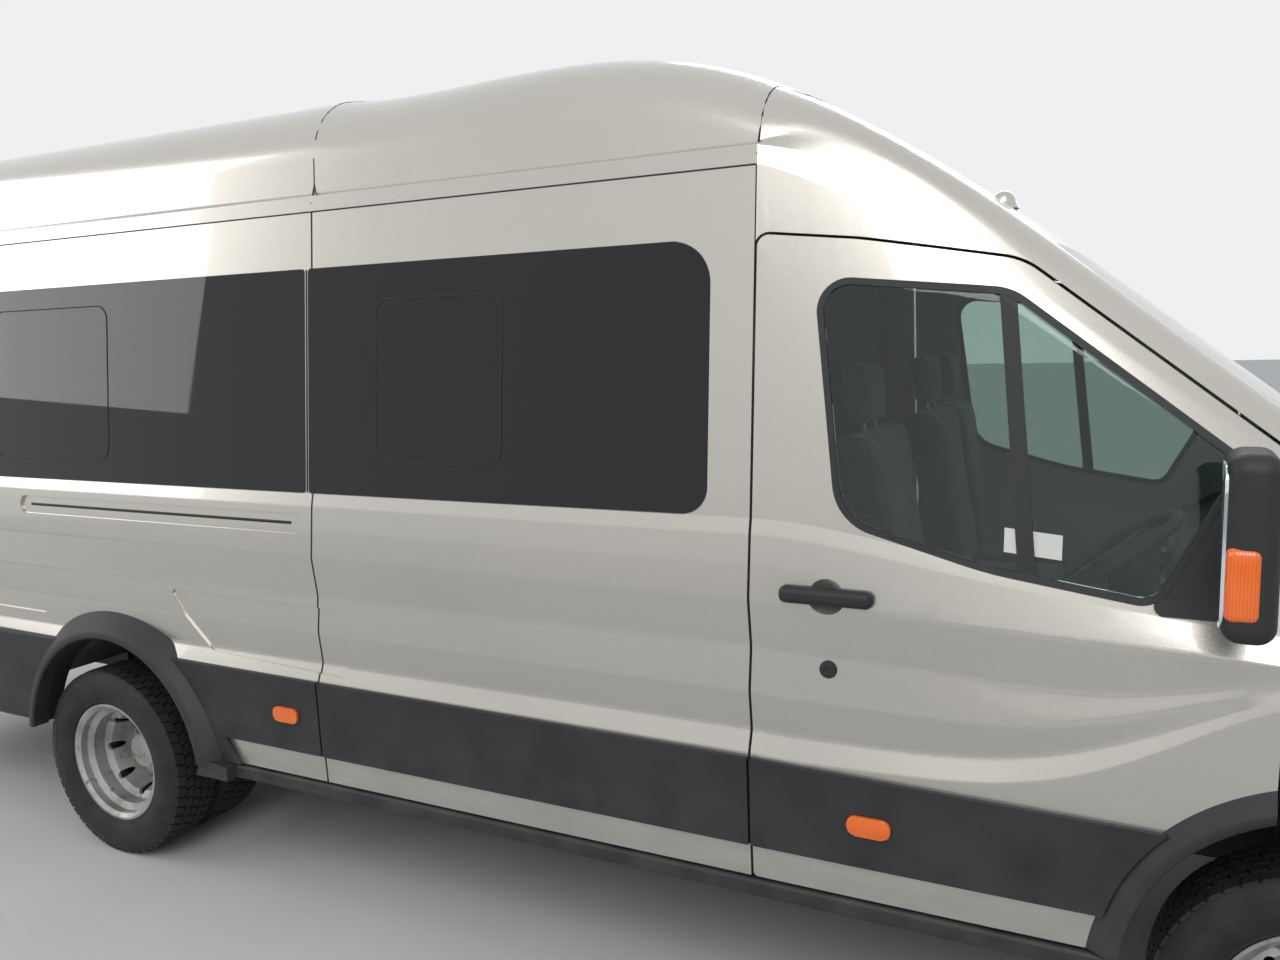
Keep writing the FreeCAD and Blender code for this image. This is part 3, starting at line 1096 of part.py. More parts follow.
DISC = size("disc_offset")
HUB_END = WHEEL_Y + 60.3
REAR_HUB = 730.0
for side, name in ((-1, "right"), (1, "left")):
    rim = rim_body(f"front_wheel_{name}", Vector(FRONT_AXLE, side * WHEEL_Y, WHEEL_Z), side)
    hub = turned_disc(f"front_hub_{name}", "Sizes.hub_radius", FRONT_AXLE, side * HUB_END, side * (WHEEL_Y + DISC - 8))
    cap = turned_disc(f"front_cap_{name}", "Sizes.hub_radius - 22", FRONT_AXLE, side * (WHEEL_Y + DISC - 10),
                      side * (WHEEL_Y + DISC + 22))
    joined = doc.addObject("Part::MultiFuse", f"front_rim_{name}_all")
    joined.Shapes = [rim, hub, cap]
    keep(joined, f"front_rim_{name}")
    piece(f"front_tyre_{name}", tyre(FRONT_AXLE, side * WHEEL_Y))
    outer = rim_body(f"rear_outer_{name}", Vector(REAR_AXLE, side * OUTER_Y, WHEEL_Z), -side)
    inner = rim_body(f"rear_inner_{name}", Vector(REAR_AXLE, side * INNER_Y, WHEEL_Z), side)
    hub = turned_disc(f"rear_hub_{name}", "Sizes.hub_radius", REAR_AXLE, side * REAR_HUB, side * (OUTER_Y - DISC + 6))
    cap = turned_disc(f"rear_cap_{name}", "Sizes.hub_radius - 10", REAR_AXLE, side * (OUTER_Y - DISC + 5),
                      side * (OUTER_Y - DISC + 70))
    joined = doc.addObject("Part::MultiFuse", f"rear_rims_{name}_all")
    joined.Shapes = [outer, inner, hub, cap]
    keep(joined, f"rear_rims_{name}")
    pair = Part.makeCompound([tyre(REAR_AXLE, side * OUTER_Y), tyre(REAR_AXLE, side * INNER_Y)])
    piece(f"rear_tyres_{name}", pair)

# Steering wheel on its column
STEER_AXIS = Vector(-0.57, 0, 0.82).normalize()
STEER_AT = Vector(fx(-470), -500, 1250)
turn_up = Rotation(Vector(0, 0, 1), STEER_AXIS)
grip = Part.makeTorus(190, 15)
boss = Part.makeCylinder(48, 40, Vector(0, 0, -34))
spokes = [Part.makeBox(180, 34, 12, Vector(0, -17, -12)) for _ in range(3)]
for index, spoke in enumerate(spokes):
    spoke.rotate(Vector(0, 0, 0), Vector(0, 0, 1), (90, 210, 330)[index] - 30)
steering_wheel = fused([grip, boss, *spokes])
steering_wheel.Placement = Placement(STEER_AT, turn_up)
piece("steering_wheel", steering_wheel)
column = Part.makeCylinder(34, 330, STEER_AT - STEER_AXIS * 34.3, STEER_AXIS * -1)
column = column.common(box(fx(-600), fx(-250), -600, -400, 900, 1300))
nodes_by_label = {node.Label: node for node in nodes}
dash_node = nodes_by_label["dashboard"]
dash_node.Shape = fused([dash_node.Shape, column])
doc.recompute()

for obj in doc.Objects:
    if "Invalid" in obj.State or "Error" in obj.State:
        raise RuntimeError(f"{obj.Name} failed: {obj.State}")
for node in nodes:
    shape = node.Shape
    if shape.isNull() or not shape.isValid():
        raise RuntimeError(f"{node.Label} has no valid shape")
    low = shape.BoundBox
    print(node.Label, len(shape.Solids), round(shape.Volume / 1e6, 2),
          [round(v) for v in (low.XMin, low.XMax, low.YMin, low.YMax, low.ZMin, low.ZMax)])
os.makedirs("parts", exist_ok=True)
for node in nodes:
    node.Shape.exportStep(f"parts/{node.Label}.step")
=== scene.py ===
import bmesh
import bpy
import json
import math

from mathutils import Matrix, Vector
from mathutils.bvhtree import BVHTree

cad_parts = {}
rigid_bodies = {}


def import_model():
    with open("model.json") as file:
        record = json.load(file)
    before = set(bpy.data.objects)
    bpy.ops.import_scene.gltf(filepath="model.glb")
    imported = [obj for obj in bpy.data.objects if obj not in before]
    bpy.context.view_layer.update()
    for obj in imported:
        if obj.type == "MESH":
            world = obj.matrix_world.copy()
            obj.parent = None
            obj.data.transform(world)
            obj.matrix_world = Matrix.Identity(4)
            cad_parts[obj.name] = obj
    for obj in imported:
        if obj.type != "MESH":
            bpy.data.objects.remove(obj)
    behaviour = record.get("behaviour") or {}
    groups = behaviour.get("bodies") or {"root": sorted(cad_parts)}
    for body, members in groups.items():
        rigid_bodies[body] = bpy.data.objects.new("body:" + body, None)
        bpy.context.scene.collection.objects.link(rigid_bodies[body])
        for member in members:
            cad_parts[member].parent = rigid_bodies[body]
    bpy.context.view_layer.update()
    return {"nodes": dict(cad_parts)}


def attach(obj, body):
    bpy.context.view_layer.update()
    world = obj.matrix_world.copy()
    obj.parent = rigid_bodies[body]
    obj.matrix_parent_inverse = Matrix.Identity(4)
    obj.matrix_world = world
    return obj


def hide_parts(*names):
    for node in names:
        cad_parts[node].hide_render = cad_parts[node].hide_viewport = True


for item in list(bpy.data.objects):
    bpy.data.objects.remove(item)
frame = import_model()
scene = bpy.context.scene
nodes = frame["nodes"]
frontAxle, rearAxle, wheelHeight = 2.329, -1.421, 0.349
sides = {"right": -1, "left": 1}


# A place along the vehicle given forward of the front axle.
def ahead(forward):
    return frontAxle + forward


# Camera: its place, its turns in degrees, and its focal length in pixels of a picture of that width
view = {"place": (1.9793, -3.3621, 1.8256), "turn": 27.025, "down": 7.593, "roll": -1.569, "focal": 1038.34,
        "pictureWidth": 1280, "sensor": 36}
turn, down, roll = (math.radians(view[k]) for k in ("turn", "down", "roll"))
forward = Vector((-math.sin(turn) * math.cos(down), math.cos(turn) * math.cos(down), -math.sin(down)))
level = Vector((math.cos(turn), math.sin(turn), 0))
upright = level.cross(forward)
across = level * math.cos(roll) + upright * math.sin(roll)
above = upright * math.cos(roll) - level * math.sin(roll)
camera = bpy.data.objects.new("camera", bpy.data.cameras.new("camera"))
camera.data.sensor_width = view["sensor"]
camera.data.lens = view["focal"] / view["pictureWidth"] * view["sensor"]
cameraAxes = Matrix((across, above, -forward)).transposed().to_4x4()
camera.matrix_world = Matrix.Translation(view["place"]) @ cameraAxes
scene.collection.objects.link(camera)
scene.camera = camera
scene.view_settings.view_transform = "Standard"


# Materials
def newMaterial(name, color, roughness=0.5, metallic=0.0, **sockets):
    made = bpy.data.materials.new(name)
    made.use_nodes = True
    shader = made.node_tree.nodes["Principled BSDF"]
    shader.inputs["Base Color"].default_value = (*color, 1)
    shader.inputs["Roughness"].default_value = roughness
    shader.inputs["Metallic"].default_value = metallic
    for socket, value in sockets.items():
        shader.inputs[socket.replace("_", " ")].default_value = value
    return made


def shaderOf(material):
    return material.node_tree.nodes["Principled BSDF"]


def addNode(material, kind, inputs=(), **settings):
    node = material.node_tree.nodes.new(kind)
    for key, value in settings.items():
        setattr(node, key, value)
    for socket, value in dict(inputs).items():
        if isinstance(value, bpy.types.NodeSocket):
            material.node_tree.links.new(value, node.inputs[socket])
        else:
            node.inputs[socket].default_value = value
    return node


def coordinates(material, output="Object"):
    return addNode(material, "ShaderNodeTexCoord").outputs[output]


def noiseOf(material, scale, detail=3.0, stretch=(1, 1, 1)):
    mapped = addNode(material, "ShaderNodeMapping", {"Vector": coordinates(material), "Scale": stretch})
    inputs = {"Vector": mapped.outputs[0], "Scale": scale, "Detail": detail}
    return addNode(material, "ShaderNodeTexNoise", inputs).outputs["Fac"]


def remap(material, value, low, high, outLow=0.0, outHigh=1.0):
    node = addNode(material, "ShaderNodeMapRange", {0: value, 1: low, 2: high, 3: outLow, 4: outHigh})
    return node.outputs[0]


def calc(material, operation, first, second=0.0):
    return addNode(material, "ShaderNodeMath", {0: first, 1: second}, operation=operation).outputs[0]


def mixColor(material, factor, first, second):
    node = addNode(material, "ShaderNodeMix", data_type="RGBA")
    for index, value in ((0, factor), (6, first), (7, second)):
        if isinstance(value, bpy.types.NodeSocket):
            material.node_tree.links.new(value, node.inputs[index])
        else:
            node.inputs[index].default_value = value if index == 0 else (*value, 1)
    return node.outputs[2]


def connect(material, output, socket):
    material.node_tree.links.new(output, shaderOf(material).inputs[socket])


def bumped(material, height, strength, distance=0.001):
    inputs = {"Height": height, "Strength": strength, "Distance": distance}
    connect(material, addNode(material, "ShaderNodeBump", inputs).outputs[0], "Normal")


# A finish with slow colour changes and a fine grain.
def grained(name, color, other, roughness, scale, bump, metallic=0.0, spread=2.2, **sockets):
    made = newMaterial(name, color, roughness, metallic, **sockets)
    slow = remap(made, noiseOf(made, spread), 0.35, 0.65)
    connect(made, mixColor(made, slow, color, other), "Base Color")
    fine = noiseOf(made, scale, 2.0)
    connect(made, remap(made, fine, 0.3, 0.7, max(roughness - 0.06, 0), roughness + 0.06), "Roughness")
    bumped(made, fine, bump)
    return made


def separated(material, output):
    return addNode(material, "ShaderNodeSeparateXYZ", {0: output}).outputs


# Heights in metres: dust fades out from the low to the high one, panels face in or out round the middle one,
# and what lies behind the last place and faces forward is the inner face of the rear end.
paintLook = {"color": (0.56, 0.53, 0.475), "shade": (0.53, 0.505, 0.455), "dust": (0.30, 0.27, 0.225),
             "lining": (0.36, 0.36, 0.35), "arch": (0.01, 0.01, 0.011), "roughness": 0.25, "metallic": 0.8,
             "dustLow": 0.35, "dustHigh": 0.95, "middle": 1.3, "rearEnd": -3.1}


# Wheel arches: centre along, centre up, radius
arches = [(ahead(0.025), 0.425, 0.425), (ahead(-3.678), 0.395, 0.440)]


# One on the cut edges of the panels round a wheel arch.
def archMask(material, place):
    found = 0.0
    for x, z, radius in arches:
        offset = addNode(material, "ShaderNodeCombineXYZ", {0: calc(material, "SUBTRACT", place[0], x),
                                                            1: calc(material, "SUBTRACT", place[2], z)})
        span = addNode(material, "ShaderNodeVectorMath", {0: offset.outputs[0]}, operation="LENGTH")
        near = calc(material, "LESS_THAN", span.outputs["Value"], radius + 0.0015)
        found = calc(material, "MAXIMUM", found, near)
    return found


# Metallic paint with dust near the ground. A lined panel turns to grey lining on its inner face.
def paintMaterial(name, lined):
    look = paintLook
    made = newMaterial(name, look["color"], look["roughness"], look["metallic"], Coat_Weight=1.0,
                       Coat_Roughness=0.03)
    place = separated(made, coordinates(made))
    slow = remap(made, noiseOf(made, 1.3), 0.35, 0.65)
    color = mixColor(made, slow, look["color"], look["shade"])
    low = remap(made, place[2], look["dustHigh"], look["dustLow"])
    streaks = remap(made, noiseOf(made, 5.0, 6.0, (1, 1, 3)), 0.35, 0.8, 0.0, 0.55)
    dust = calc(made, "MULTIPLY", low, streaks)
    color = mixColor(made, dust, color, look["dust"])
    smooth, coarse = look["roughness"] - 0.03, look["roughness"] + 0.03
    grain = remap(made, noiseOf(made, 900.0, 1.0), 0.3, 0.7, smooth, coarse)
    rough = calc(made, "ADD", grain, calc(made, "MULTIPLY", dust, 0.4))
    dull = archMask(made, place)
    color = mixColor(made, dull, color, look["arch"])
    if lined:
        normal = coordinates(made, "Normal")
        height = calc(made, "SUBTRACT", place[2], look["middle"])
        radial = addNode(made, "ShaderNodeCombineXYZ", {1: place[1], 2: height})
        outwards = addNode(made, "ShaderNodeVectorMath", {0: radial.outputs[0]}, operation="NORMALIZE")
        directions = {0: normal, 1: outwards.outputs[0]}
        facing = addNode(made, "ShaderNodeVectorMath", directions, operation="DOT_PRODUCT")
        inside = calc(made, "LESS_THAN", facing.outputs["Value"], -0.55)
        rear = calc(made, "MULTIPLY", calc(made, "LESS_THAN", place[0], look["rearEnd"]),
                    calc(made, "GREATER_THAN", separated(made, normal)[0], 0.6))
        inside = calc(made, "MAXIMUM", inside, rear)
        color = mixColor(made, inside, color, look["lining"])
        dull = calc(made, "MAXIMUM", dull, inside)
    rough = calc(made, "MAXIMUM", rough, calc(made, "MULTIPLY", dull, 0.75))
    connect(made, remap(made, dull, 0, 1, look["metallic"], 0.0), "Metallic")
    connect(made, remap(made, dull, 0, 1, 1.0, 0.0), "Coat Weight")
    connect(made, color, "Base Color")
    connect(made, rough, "Roughness")
    flakes = addNode(made, "ShaderNodeTexVoronoi", {"Vector": coordinates(made), "Scale": 1400.0})
    bumped(made, flakes.outputs["Distance"], 0.04, 0.0004)
    return made


# Textured plastic that is dusty near the ground.
def speckled(name, color, scale):
    made = newMaterial(name, color, 0.55)
    grain = noiseOf(made, scale, 2.0)
    low = remap(made, separated(made, coordinates(made))[2], 0.9, 0.25)
    dust = calc(made, "MULTIPLY", low, remap(made, noiseOf(made, 7.0, 6.0), 0.35, 0.75, 0.0, 0.5))
    slow = remap(made, noiseOf(made, 3.0), 0.3, 0.7)
    base = mixColor(made, slow, color, tuple(c * 1.35 for c in color))
    connect(made, mixColor(made, dust, base, (0.12, 0.11, 0.10)), "Base Color")
    connect(made, remap(made, grain, 0.3, 0.7, 0.48, 0.64), "Roughness")
    bumped(made, grain, 0.35, 0.0006)
    return made


def glassMaterial(name, color, transmission, roughness=0.02):
    made = newMaterial(name, color, roughness, Transmission_Weight=transmission, IOR=1.45)
    haze = remap(made, noiseOf(made, 4.0, 5.0), 0.4, 0.8, roughness, roughness + 0.03)
    connect(made, haze, "Roughness")
    return made


# The windscreen from above: its top and bottom edge ahead of the axle, their half widths and bows, and the
# width of its black border.
screenLook = {"top": -0.600, "bottom": 0.262, "topHalf": 0.742, "bottomHalf": 0.806, "topBow": 0.052,
              "bottomBow": 0.126, "border": 0.045, "bottomBorder": 0.085, "glass": (0.50, 0.62, 0.57),
              "black": (0.006, 0.006, 0.007)}


# Clear glass with a black border.
def screenMaterial():
    look = screenLook
    made = glassMaterial("screenGlass", look["glass"], 1.0, 0.0)
    place = separated(made, coordinates(made))
    along = calc(made, "SUBTRACT", place[0], frontAxle)
    wide = calc(made, "ABSOLUTE", place[1])
    half = remap(made, along, look["top"], look["bottom"], look["topHalf"], look["bottomHalf"])
    bow = remap(made, calc(made, "MULTIPLY", wide, wide), 0.0, look["topHalf"] ** 2, 1.0, 0.0)
    topEdge = calc(made, "MULTIPLY_ADD", bow, look["topBow"])
    topEdge.node.inputs[2].default_value = look["top"] + look["border"]
    bottomEdge = calc(made, "MULTIPLY_ADD", bow, look["bottomBow"])
    bottomEdge.node.inputs[2].default_value = look["bottom"] - look["bottomBorder"]
    border = calc(made, "GREATER_THAN", wide, calc(made, "SUBTRACT", half, look["border"]))
    border = calc(made, "MAXIMUM", border, calc(made, "LESS_THAN", along, topEdge))
    border = calc(made, "MAXIMUM", border, calc(made, "GREATER_THAN", along, bottomEdge))
    connect(made, remap(made, border, 0, 1, 1.0, 0.0), "Transmission Weight")
    connect(made, mixColor(made, border, look["glass"], look["black"]), "Base Color")
    return made


# Seat cloth: a fine weave with scattered lighter threads.
def wovenMaterial(name, color, other, scale=420.0):
    made = newMaterial(name, color, 0.85, Sheen_Weight=0.35, Sheen_Roughness=0.5)
    place = coordinates(made)
    inputs = {"Vector": place, "Scale": scale / 6.3, "Distortion": 0.4}
    lines = [addNode(made, "ShaderNodeTexWave", inputs, bands_direction=axis).outputs["Fac"]
             for axis in ("Y", "Z")]
    weave = calc(made, "MULTIPLY", lines[0], lines[1])
    specks = addNode(made, "ShaderNodeTexVoronoi", {"Vector": place, "Scale": 90.0})
    dots = calc(made, "LESS_THAN", specks.outputs["Distance"], 0.22)
    base = mixColor(made, weave, color, tuple(c * 1.5 for c in color))
    connect(made, mixColor(made, calc(made, "MULTIPLY", dots, 0.5), base, other), "Base Color")
    bumped(made, weave, 0.5, 0.0008)
    return made


def tyreMaterial():
    made = newMaterial("tyreRubber", (0.011, 0.011, 0.012), 0.75)
    dust = remap(made, noiseOf(made, 14.0, 6.0), 0.4, 0.7, 0.0, 0.6)
    connect(made, mixColor(made, dust, (0.009, 0.009, 0.010), (0.030, 0.028, 0.026)), "Base Color")
    grain = noiseOf(made, 500.0, 2.0)
    connect(made, remap(made, grain, 0.3, 0.7, 0.62, 0.8), "Roughness")
    bumped(made, grain, 0.25)
    return made


# Dull wheel paint with brake dust and rust patches on the pressed steel.
def rimMaterial():
    made = newMaterial("wheelSteel", (0.42, 0.42, 0.41), 0.42, 0.65)
    dust = remap(made, noiseOf(made, 9.0, 6.0), 0.42, 0.68, 0.0, 0.75)
    color = mixColor(made, dust, (0.46, 0.46, 0.45), (0.20, 0.185, 0.17))
    rust = remap(made, noiseOf(made, 26.0, 8.0), 0.6, 0.68, 0.0, 0.85)
    connect(made, mixColor(made, rust, color, (0.17, 0.085, 0.045)), "Base Color")
    connect(made, remap(made, rust, 0, 1, 0.4, 0.8), "Roughness")
    connect(made, remap(made, rust, 0, 1, 0.65, 0.05), "Metallic")
    bumped(made, noiseOf(made, 160.0, 3.0), 0.2)
    return made


# A ribbed lamp lens.
def lampMaterial(name, color):
    made = newMaterial(name, color, 0.12, Coat_Weight=0.8, Coat_Roughness=0.03)
    inputs = {"Vector": coordinates(made), "Scale": 55.0}
    ribs = addNode(made, "ShaderNodeTexWave", inputs, bands_direction="X").outputs["Fac"]
    connect(made, mixColor(made, ribs, color, tuple(min(c * 1.25, 1) for c in color)), "Base Color")
    bumped(made, ribs, 0.35)
    return made


paintBody = paintMaterial("paintBody", True)
paintPlain = paintMaterial("paintPlain", False)
blackPlastic = speckled("blackPlastic", (0.011, 0.0125, 0.0145), 700.0)
softBlack = speckled("softBlack", (0.008, 0.0085, 0.009), 350.0)
trimGrey = grained("trimGrey", (0.075, 0.077, 0.08), (0.085, 0.087, 0.09), 0.62, 520.0, 0.5)
dashGrey = grained("dashGrey", (0.045, 0.046, 0.05), (0.055, 0.056, 0.06), 0.7, 420.0, 0.6)
lining = grained("lining", (0.37, 0.37, 0.355), (0.33, 0.33, 0.32), 0.85, 260.0, 0.5)
darkGlass = glassMaterial("darkGlass", (0.012, 0.015, 0.018), 0.6, 0.01)
clearGlass = glassMaterial("clearGlass", screenLook["glass"], 1.0, 0.0)
screenGlass = screenMaterial()
lensGlass = glassMaterial("lensGlass", (0.9, 0.92, 0.93), 1.0, 0.02)
lampRed = lampMaterial("lampRed", (0.42, 0.012, 0.012))
lampAmber = lampMaterial("lampAmber", (0.78, 0.13, 0.004))
lampWhite = lampMaterial("lampWhite", (0.7, 0.71, 0.72))
chrome = grained("chrome", (0.75, 0.75, 0.76), (0.7, 0.7, 0.71), 0.12, 300.0, 0.05, metallic=1.0)
steel = grained("steel", (0.36, 0.35, 0.34), (0.26, 0.235, 0.21), 0.45, 240.0, 0.3, metallic=0.8,
                spread=8.0)
castMetal = grained("castMetal", (0.17, 0.17, 0.175), (0.11, 0.10, 0.095), 0.6, 130.0, 0.7,
                    metallic=0.5, spread=7.0)
underPaint = grained("underPaint", (0.035, 0.035, 0.038), (0.07, 0.062, 0.054), 0.65, 190.0, 0.5,
                     spread=5.0)
floorCover = grained("floorCover", (0.09, 0.095, 0.10), (0.115, 0.12, 0.125), 0.7, 320.0, 0.5,
                     spread=40.0)
rubber = grained("rubber", (0.012, 0.012, 0.013), (0.02, 0.02, 0.02), 0.65, 600.0, 0.3)
mirrorGlass = newMaterial("mirrorGlass", (0.8, 0.82, 0.84), 0.03, 1.0)
whitePlate = grained("whitePlate", (0.68, 0.68, 0.64), (0.62, 0.62, 0.585), 0.45, 300.0, 0.1)
seatCloth = wovenMaterial("seatCloth", (0.035, 0.042, 0.062), (0.12, 0.15, 0.24))
tyreRubber = tyreMaterial()
wheelSteel = rimMaterial()
print("materials ready")


# Carried nodes: smooth shading on the real curves and sharp edges where the panel folds
def softEdgesTree(limit):
    tree = bpy.data.node_groups.new("softEdges", "GeometryNodeTree")
    tree.interface.new_socket("Geometry", in_out="INPUT", socket_type="NodeSocketGeometry")
    tree.interface.new_socket("Geometry", in_out="OUTPUT", socket_type="NodeSocketGeometry")
    start, end = tree.nodes.new("NodeGroupInput"), tree.nodes.new("NodeGroupOutput")
    merge = tree.nodes.new("GeometryNodeMergeByDistance")
    merge.inputs["Distance"].default_value = 0.00002
    smooth = tree.nodes.new("GeometryNodeSetShadeSmooth")
    creased = tree.nodes.new("GeometryNodeSetShadeSmooth")
    creased.domain = "EDGE"
    angle = tree.nodes.new("GeometryNodeInputMeshEdgeAngle")
    gentle = tree.nodes.new("FunctionNodeCompare")
    gentle.operation = "LESS_THAN"
    gentle.inputs["B"].default_value = math.radians(limit)
    link = tree.links.new
    link(start.outputs[0], merge.inputs[0])
    link(merge.outputs[0], smooth.inputs[0])
    link(smooth.outputs[0], creased.inputs[0])
    link(angle.outputs["Unsigned Angle"], gentle.inputs["A"])
    link(gentle.outputs[0], creased.inputs["Shade Smooth"])
    link(creased.outputs[0], end.inputs[0])
    return tree


softEdges = softEdgesTree(24)
finishes = {
    paintBody: ["roof_rear", "roof_middle", "side_wall_right", "side_wall_left", "side_panel_right",
                "sliding_door_left", "rear_frame", "rear_door_right", "rear_door_left", "cab_roof",
                "cab_frame", "front_door_right", "front_door_left"],
    paintPlain: ["front_wings", "bonnet"],
    darkGlass: ["side_glass", "rear_door_glass_right", "rear_door_glass_left"],
    screenGlass: ["windscreen"], clearGlass: ["door_glass_right", "door_glass_left"],
    lensGlass: ["headlamps"], lampRed: ["tail_lamps"], lampAmber: ["side_lamps"],
    blackPlastic: ["door_trim_right", "door_trim_left", "grille", "front_bumper", "cowl",
                   "side_mouldings", "rear_bumper"],
    softBlack: ["arch_liners", "fuel_tank"], floorCover: ["floor"], lining: ["pillars"],
    dashGrey: ["dashboard"], trimGrey: ["steering_wheel"],
    underPaint: ["chassis_frame", "leaf_springs", "front_suspension", "seat_frames"],
    castMetal: ["engine", "driveline", "knuckle_right", "knuckle_left"], steel: ["exhaust"],
    wheelSteel: ["front_rim_right", "front_rim_left", "rear_rims_right", "rear_rims_left"],
}
for material, names in finishes.items():
    for name in names:
        node = nodes[name]
        node.data.materials.clear()
        node.data.materials.append(material)
        edges = node.modifiers.new("softEdges", "NODES")
        edges.node_group = softEdges
        weighted = node.modifiers.new("weighted", "WEIGHTED_NORMAL")
        weighted.keep_sharp = True
print("carried nodes finished")


# Mesh helpers
# Turns a bmesh into a named piece that rides on a body.
def addPiece(name, form, material, body, replaced=(), sharp=35.0):
    bmesh.ops.recalc_face_normals(form, faces=form.faces)
    for face in form.faces:
        face.smooth = True
    for edge in form.edges:
        edge.smooth = len(edge.link_faces) == 2 and edge.calc_face_angle(0.0) < math.radians(sharp)
    mesh = bpy.data.meshes.new(name)
    form.to_mesh(mesh)
    form.free()
    return addMesh(name, mesh, material, body, replaced)


def addMesh(name, mesh, material, body, replaced=()):
    piece = bpy.data.objects.new(name, mesh)
    scene.collection.objects.link(piece)
    mesh.materials.clear()
    mesh.materials.append(material)
    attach(piece, body)
    if replaced:
        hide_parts(*replaced)
    return piece


# Several bmeshes as one.
def merged(forms):
    whole = bmesh.new()
    for form in forms:
        mesh = bpy.data.meshes.new("part")
        form.to_mesh(mesh)
        whole.from_mesh(mesh)
        bpy.data.meshes.remove(mesh)
        form.free()
    return whole


def roundedBox(low, high, radius=0.005, segments=3):
    form = bmesh.new()
    bmesh.ops.create_cube(form, size=1)
    low, high = Vector(low), Vector(high)
    span, middle = high - low, (high + low) / 2
    for vert in form.verts:
        vert.co = Vector(c * s + m for c, s, m in zip(vert.co, span, middle))
    if radius:
        bmesh.ops.bevel(form, geom=form.edges[:], offset=radius, segments=segments, profile=0.5,
                        affect="EDGES")
    return form


# A round bar along points, with closed ends.
def tube(points, radius, around=8, closed=False, flatten=1.0):
    form = bmesh.new()
    points = [Vector(p) for p in points]
    count = len(points)
    rings = []
    side = None
    for i, point in enumerate(points):
        before = points[i - 1] if i or closed else point
        after = points[(i + 1) % count] if i < count - 1 or closed else point
        along = (after - before).normalized()
        if side is None:
            side = along.cross(Vector((0.13, 0.21, 0.97))).normalized()
        side = (side - along * side.dot(along)).normalized()
        other = along.cross(side) * flatten
        turns = [math.tau * k / around for k in range(around)]
        rings.append([form.verts.new(point + (side * math.cos(a) + other * math.sin(a)) * radius)
                      for a in turns])
    for i in range(count if closed else count - 1):
        first, second = rings[i], rings[(i + 1) % count]
        for k in range(around):
            form.faces.new((first[k], first[(k + 1) % around], second[(k + 1) % around], second[k]))
    if not closed:
        form.faces.new(rings[0])
        form.faces.new(rings[-1])
    return form


# A (radius, reach) profile turned about an axis through centre.
def lathe(profile, centre, axis="Y", segments=48, closed=True):
    form = bmesh.new()
    turned = {"Y": lambda r, u, a: Vector((r * math.cos(a), u, r * math.sin(a))),
              "X": lambda r, u, a: Vector((u, r * math.cos(a), r * math.sin(a))),
              "Z": lambda r, u, a: Vector((r * math.cos(a), r * math.sin(a), u))}[axis]
    centre = Vector(centre)
    rings = [[form.verts.new(centre + turned(r, u, math.tau * k / segments)) for k in range(segments)]
             for r, u in profile]
    last = len(rings) if closed else len(rings) - 1
    for i in range(last):
        first, second = rings[i], rings[(i + 1) % len(rings)]
        for k in range(segments):
            form.faces.new((first[k], first[(k + 1) % segments], second[(k + 1) % segments], second[k]))
    bmesh.ops.remove_doubles(form, verts=form.verts, dist=1e-6)
    if not closed:
        for ring in (rings[0], rings[-1]):
            alive = [v for v in ring if v.is_valid]
            if len(alive) > 2:
                form.faces.new(alive)
    return form


# A flat outline carried between two depths by a placing function of (a, b, depth).
def plate(outlinePoints, toWorld, low, high, bevel=0.0):
    form = bmesh.new()
    rings = [[form.verts.new(toWorld(a, b, depth)) for a, b in outlinePoints] for depth in (low, high)]
    count = len(outlinePoints)
    for k in range(count):
        form.faces.new((rings[0][k], rings[0][(k + 1) % count], rings[1][(k + 1) % count], rings[1][k]))
    form.faces.new(rings[0])
    top = form.faces.new(rings[1])
    if bevel:
        bmesh.ops.bevel(form, geom=list(top.edges), offset=bevel, segments=2, profile=0.5, affect="EDGES")
    return form


def roundedOutline(a0, a1, b0, b1, radius, steps=6):
    points = []
    for ca, cb, start in ((a1 - radius, b0 + radius, -90), (a1 - radius, b1 - radius, 0),
                          (a0 + radius, b1 - radius, 90), (a0 + radius, b0 + radius, 180)):
        for k in range(steps + 1):
            turned = math.radians(start + 90 * k / steps)
            points.append((ca + radius * math.cos(turned), cb + radius * math.sin(turned)))
    return points


# Places on the carried surfaces, found by looking at them from outside
def surfaceTree(names):
    points, faces = [], []
    for name in names:
        mesh = nodes[name].data
        base = len(points)
        points += [v.co.copy() for v in mesh.vertices]
        faces += [[base + i for i in p.vertices] for p in mesh.polygons]
    return BVHTree.FromPolygons(points, faces)


skin = surfaceTree(finishes[paintBody] + finishes[paintPlain] + finishes[darkGlass] + finishes[clearGlass]
                   + ["windscreen", "headlamps", "grille", "cowl"])


# The first point of the skin from a start, and its outward normal.
def seen(start, towards, lift=0.0):
    towards = Vector(towards).normalized()
    point, normal, _, _ = skin.ray_cast(Vector(start), towards)
    if point is None:
        return None, None
    if normal.dot(towards) > 0:
        normal = -normal
    return point + normal * lift, normal


def onSide(x, z, side, lift=0.0):
    return seen((x, side * 1.6, z), (0, -side, 0), lift)


def onRear(y, z, lift=0.0):
    return seen((-4.2, y, z), (1, 0, 0), lift)


def onFront(y, z, lift=0.0):
    return seen((4.2, y, z), (-1, 0, 0), lift)


def onTop(x, y, lift=0.0):
    return seen((x, y, 3.4), (0, 0, -1), lift)


# Points no further apart than a step along a polyline.
def resampled(points, step, closed=False):
    found = []
    count = len(points)
    for i in range(count if closed else count - 1):
        first, second = Vector(points[i]), Vector(points[(i + 1) % count])
        parts = max(1, math.ceil((second - first).length / step))
        found += [first.lerp(second, k / parts) for k in range(parts)]
    if not closed:
        found.append(Vector(points[-1]))
    return found


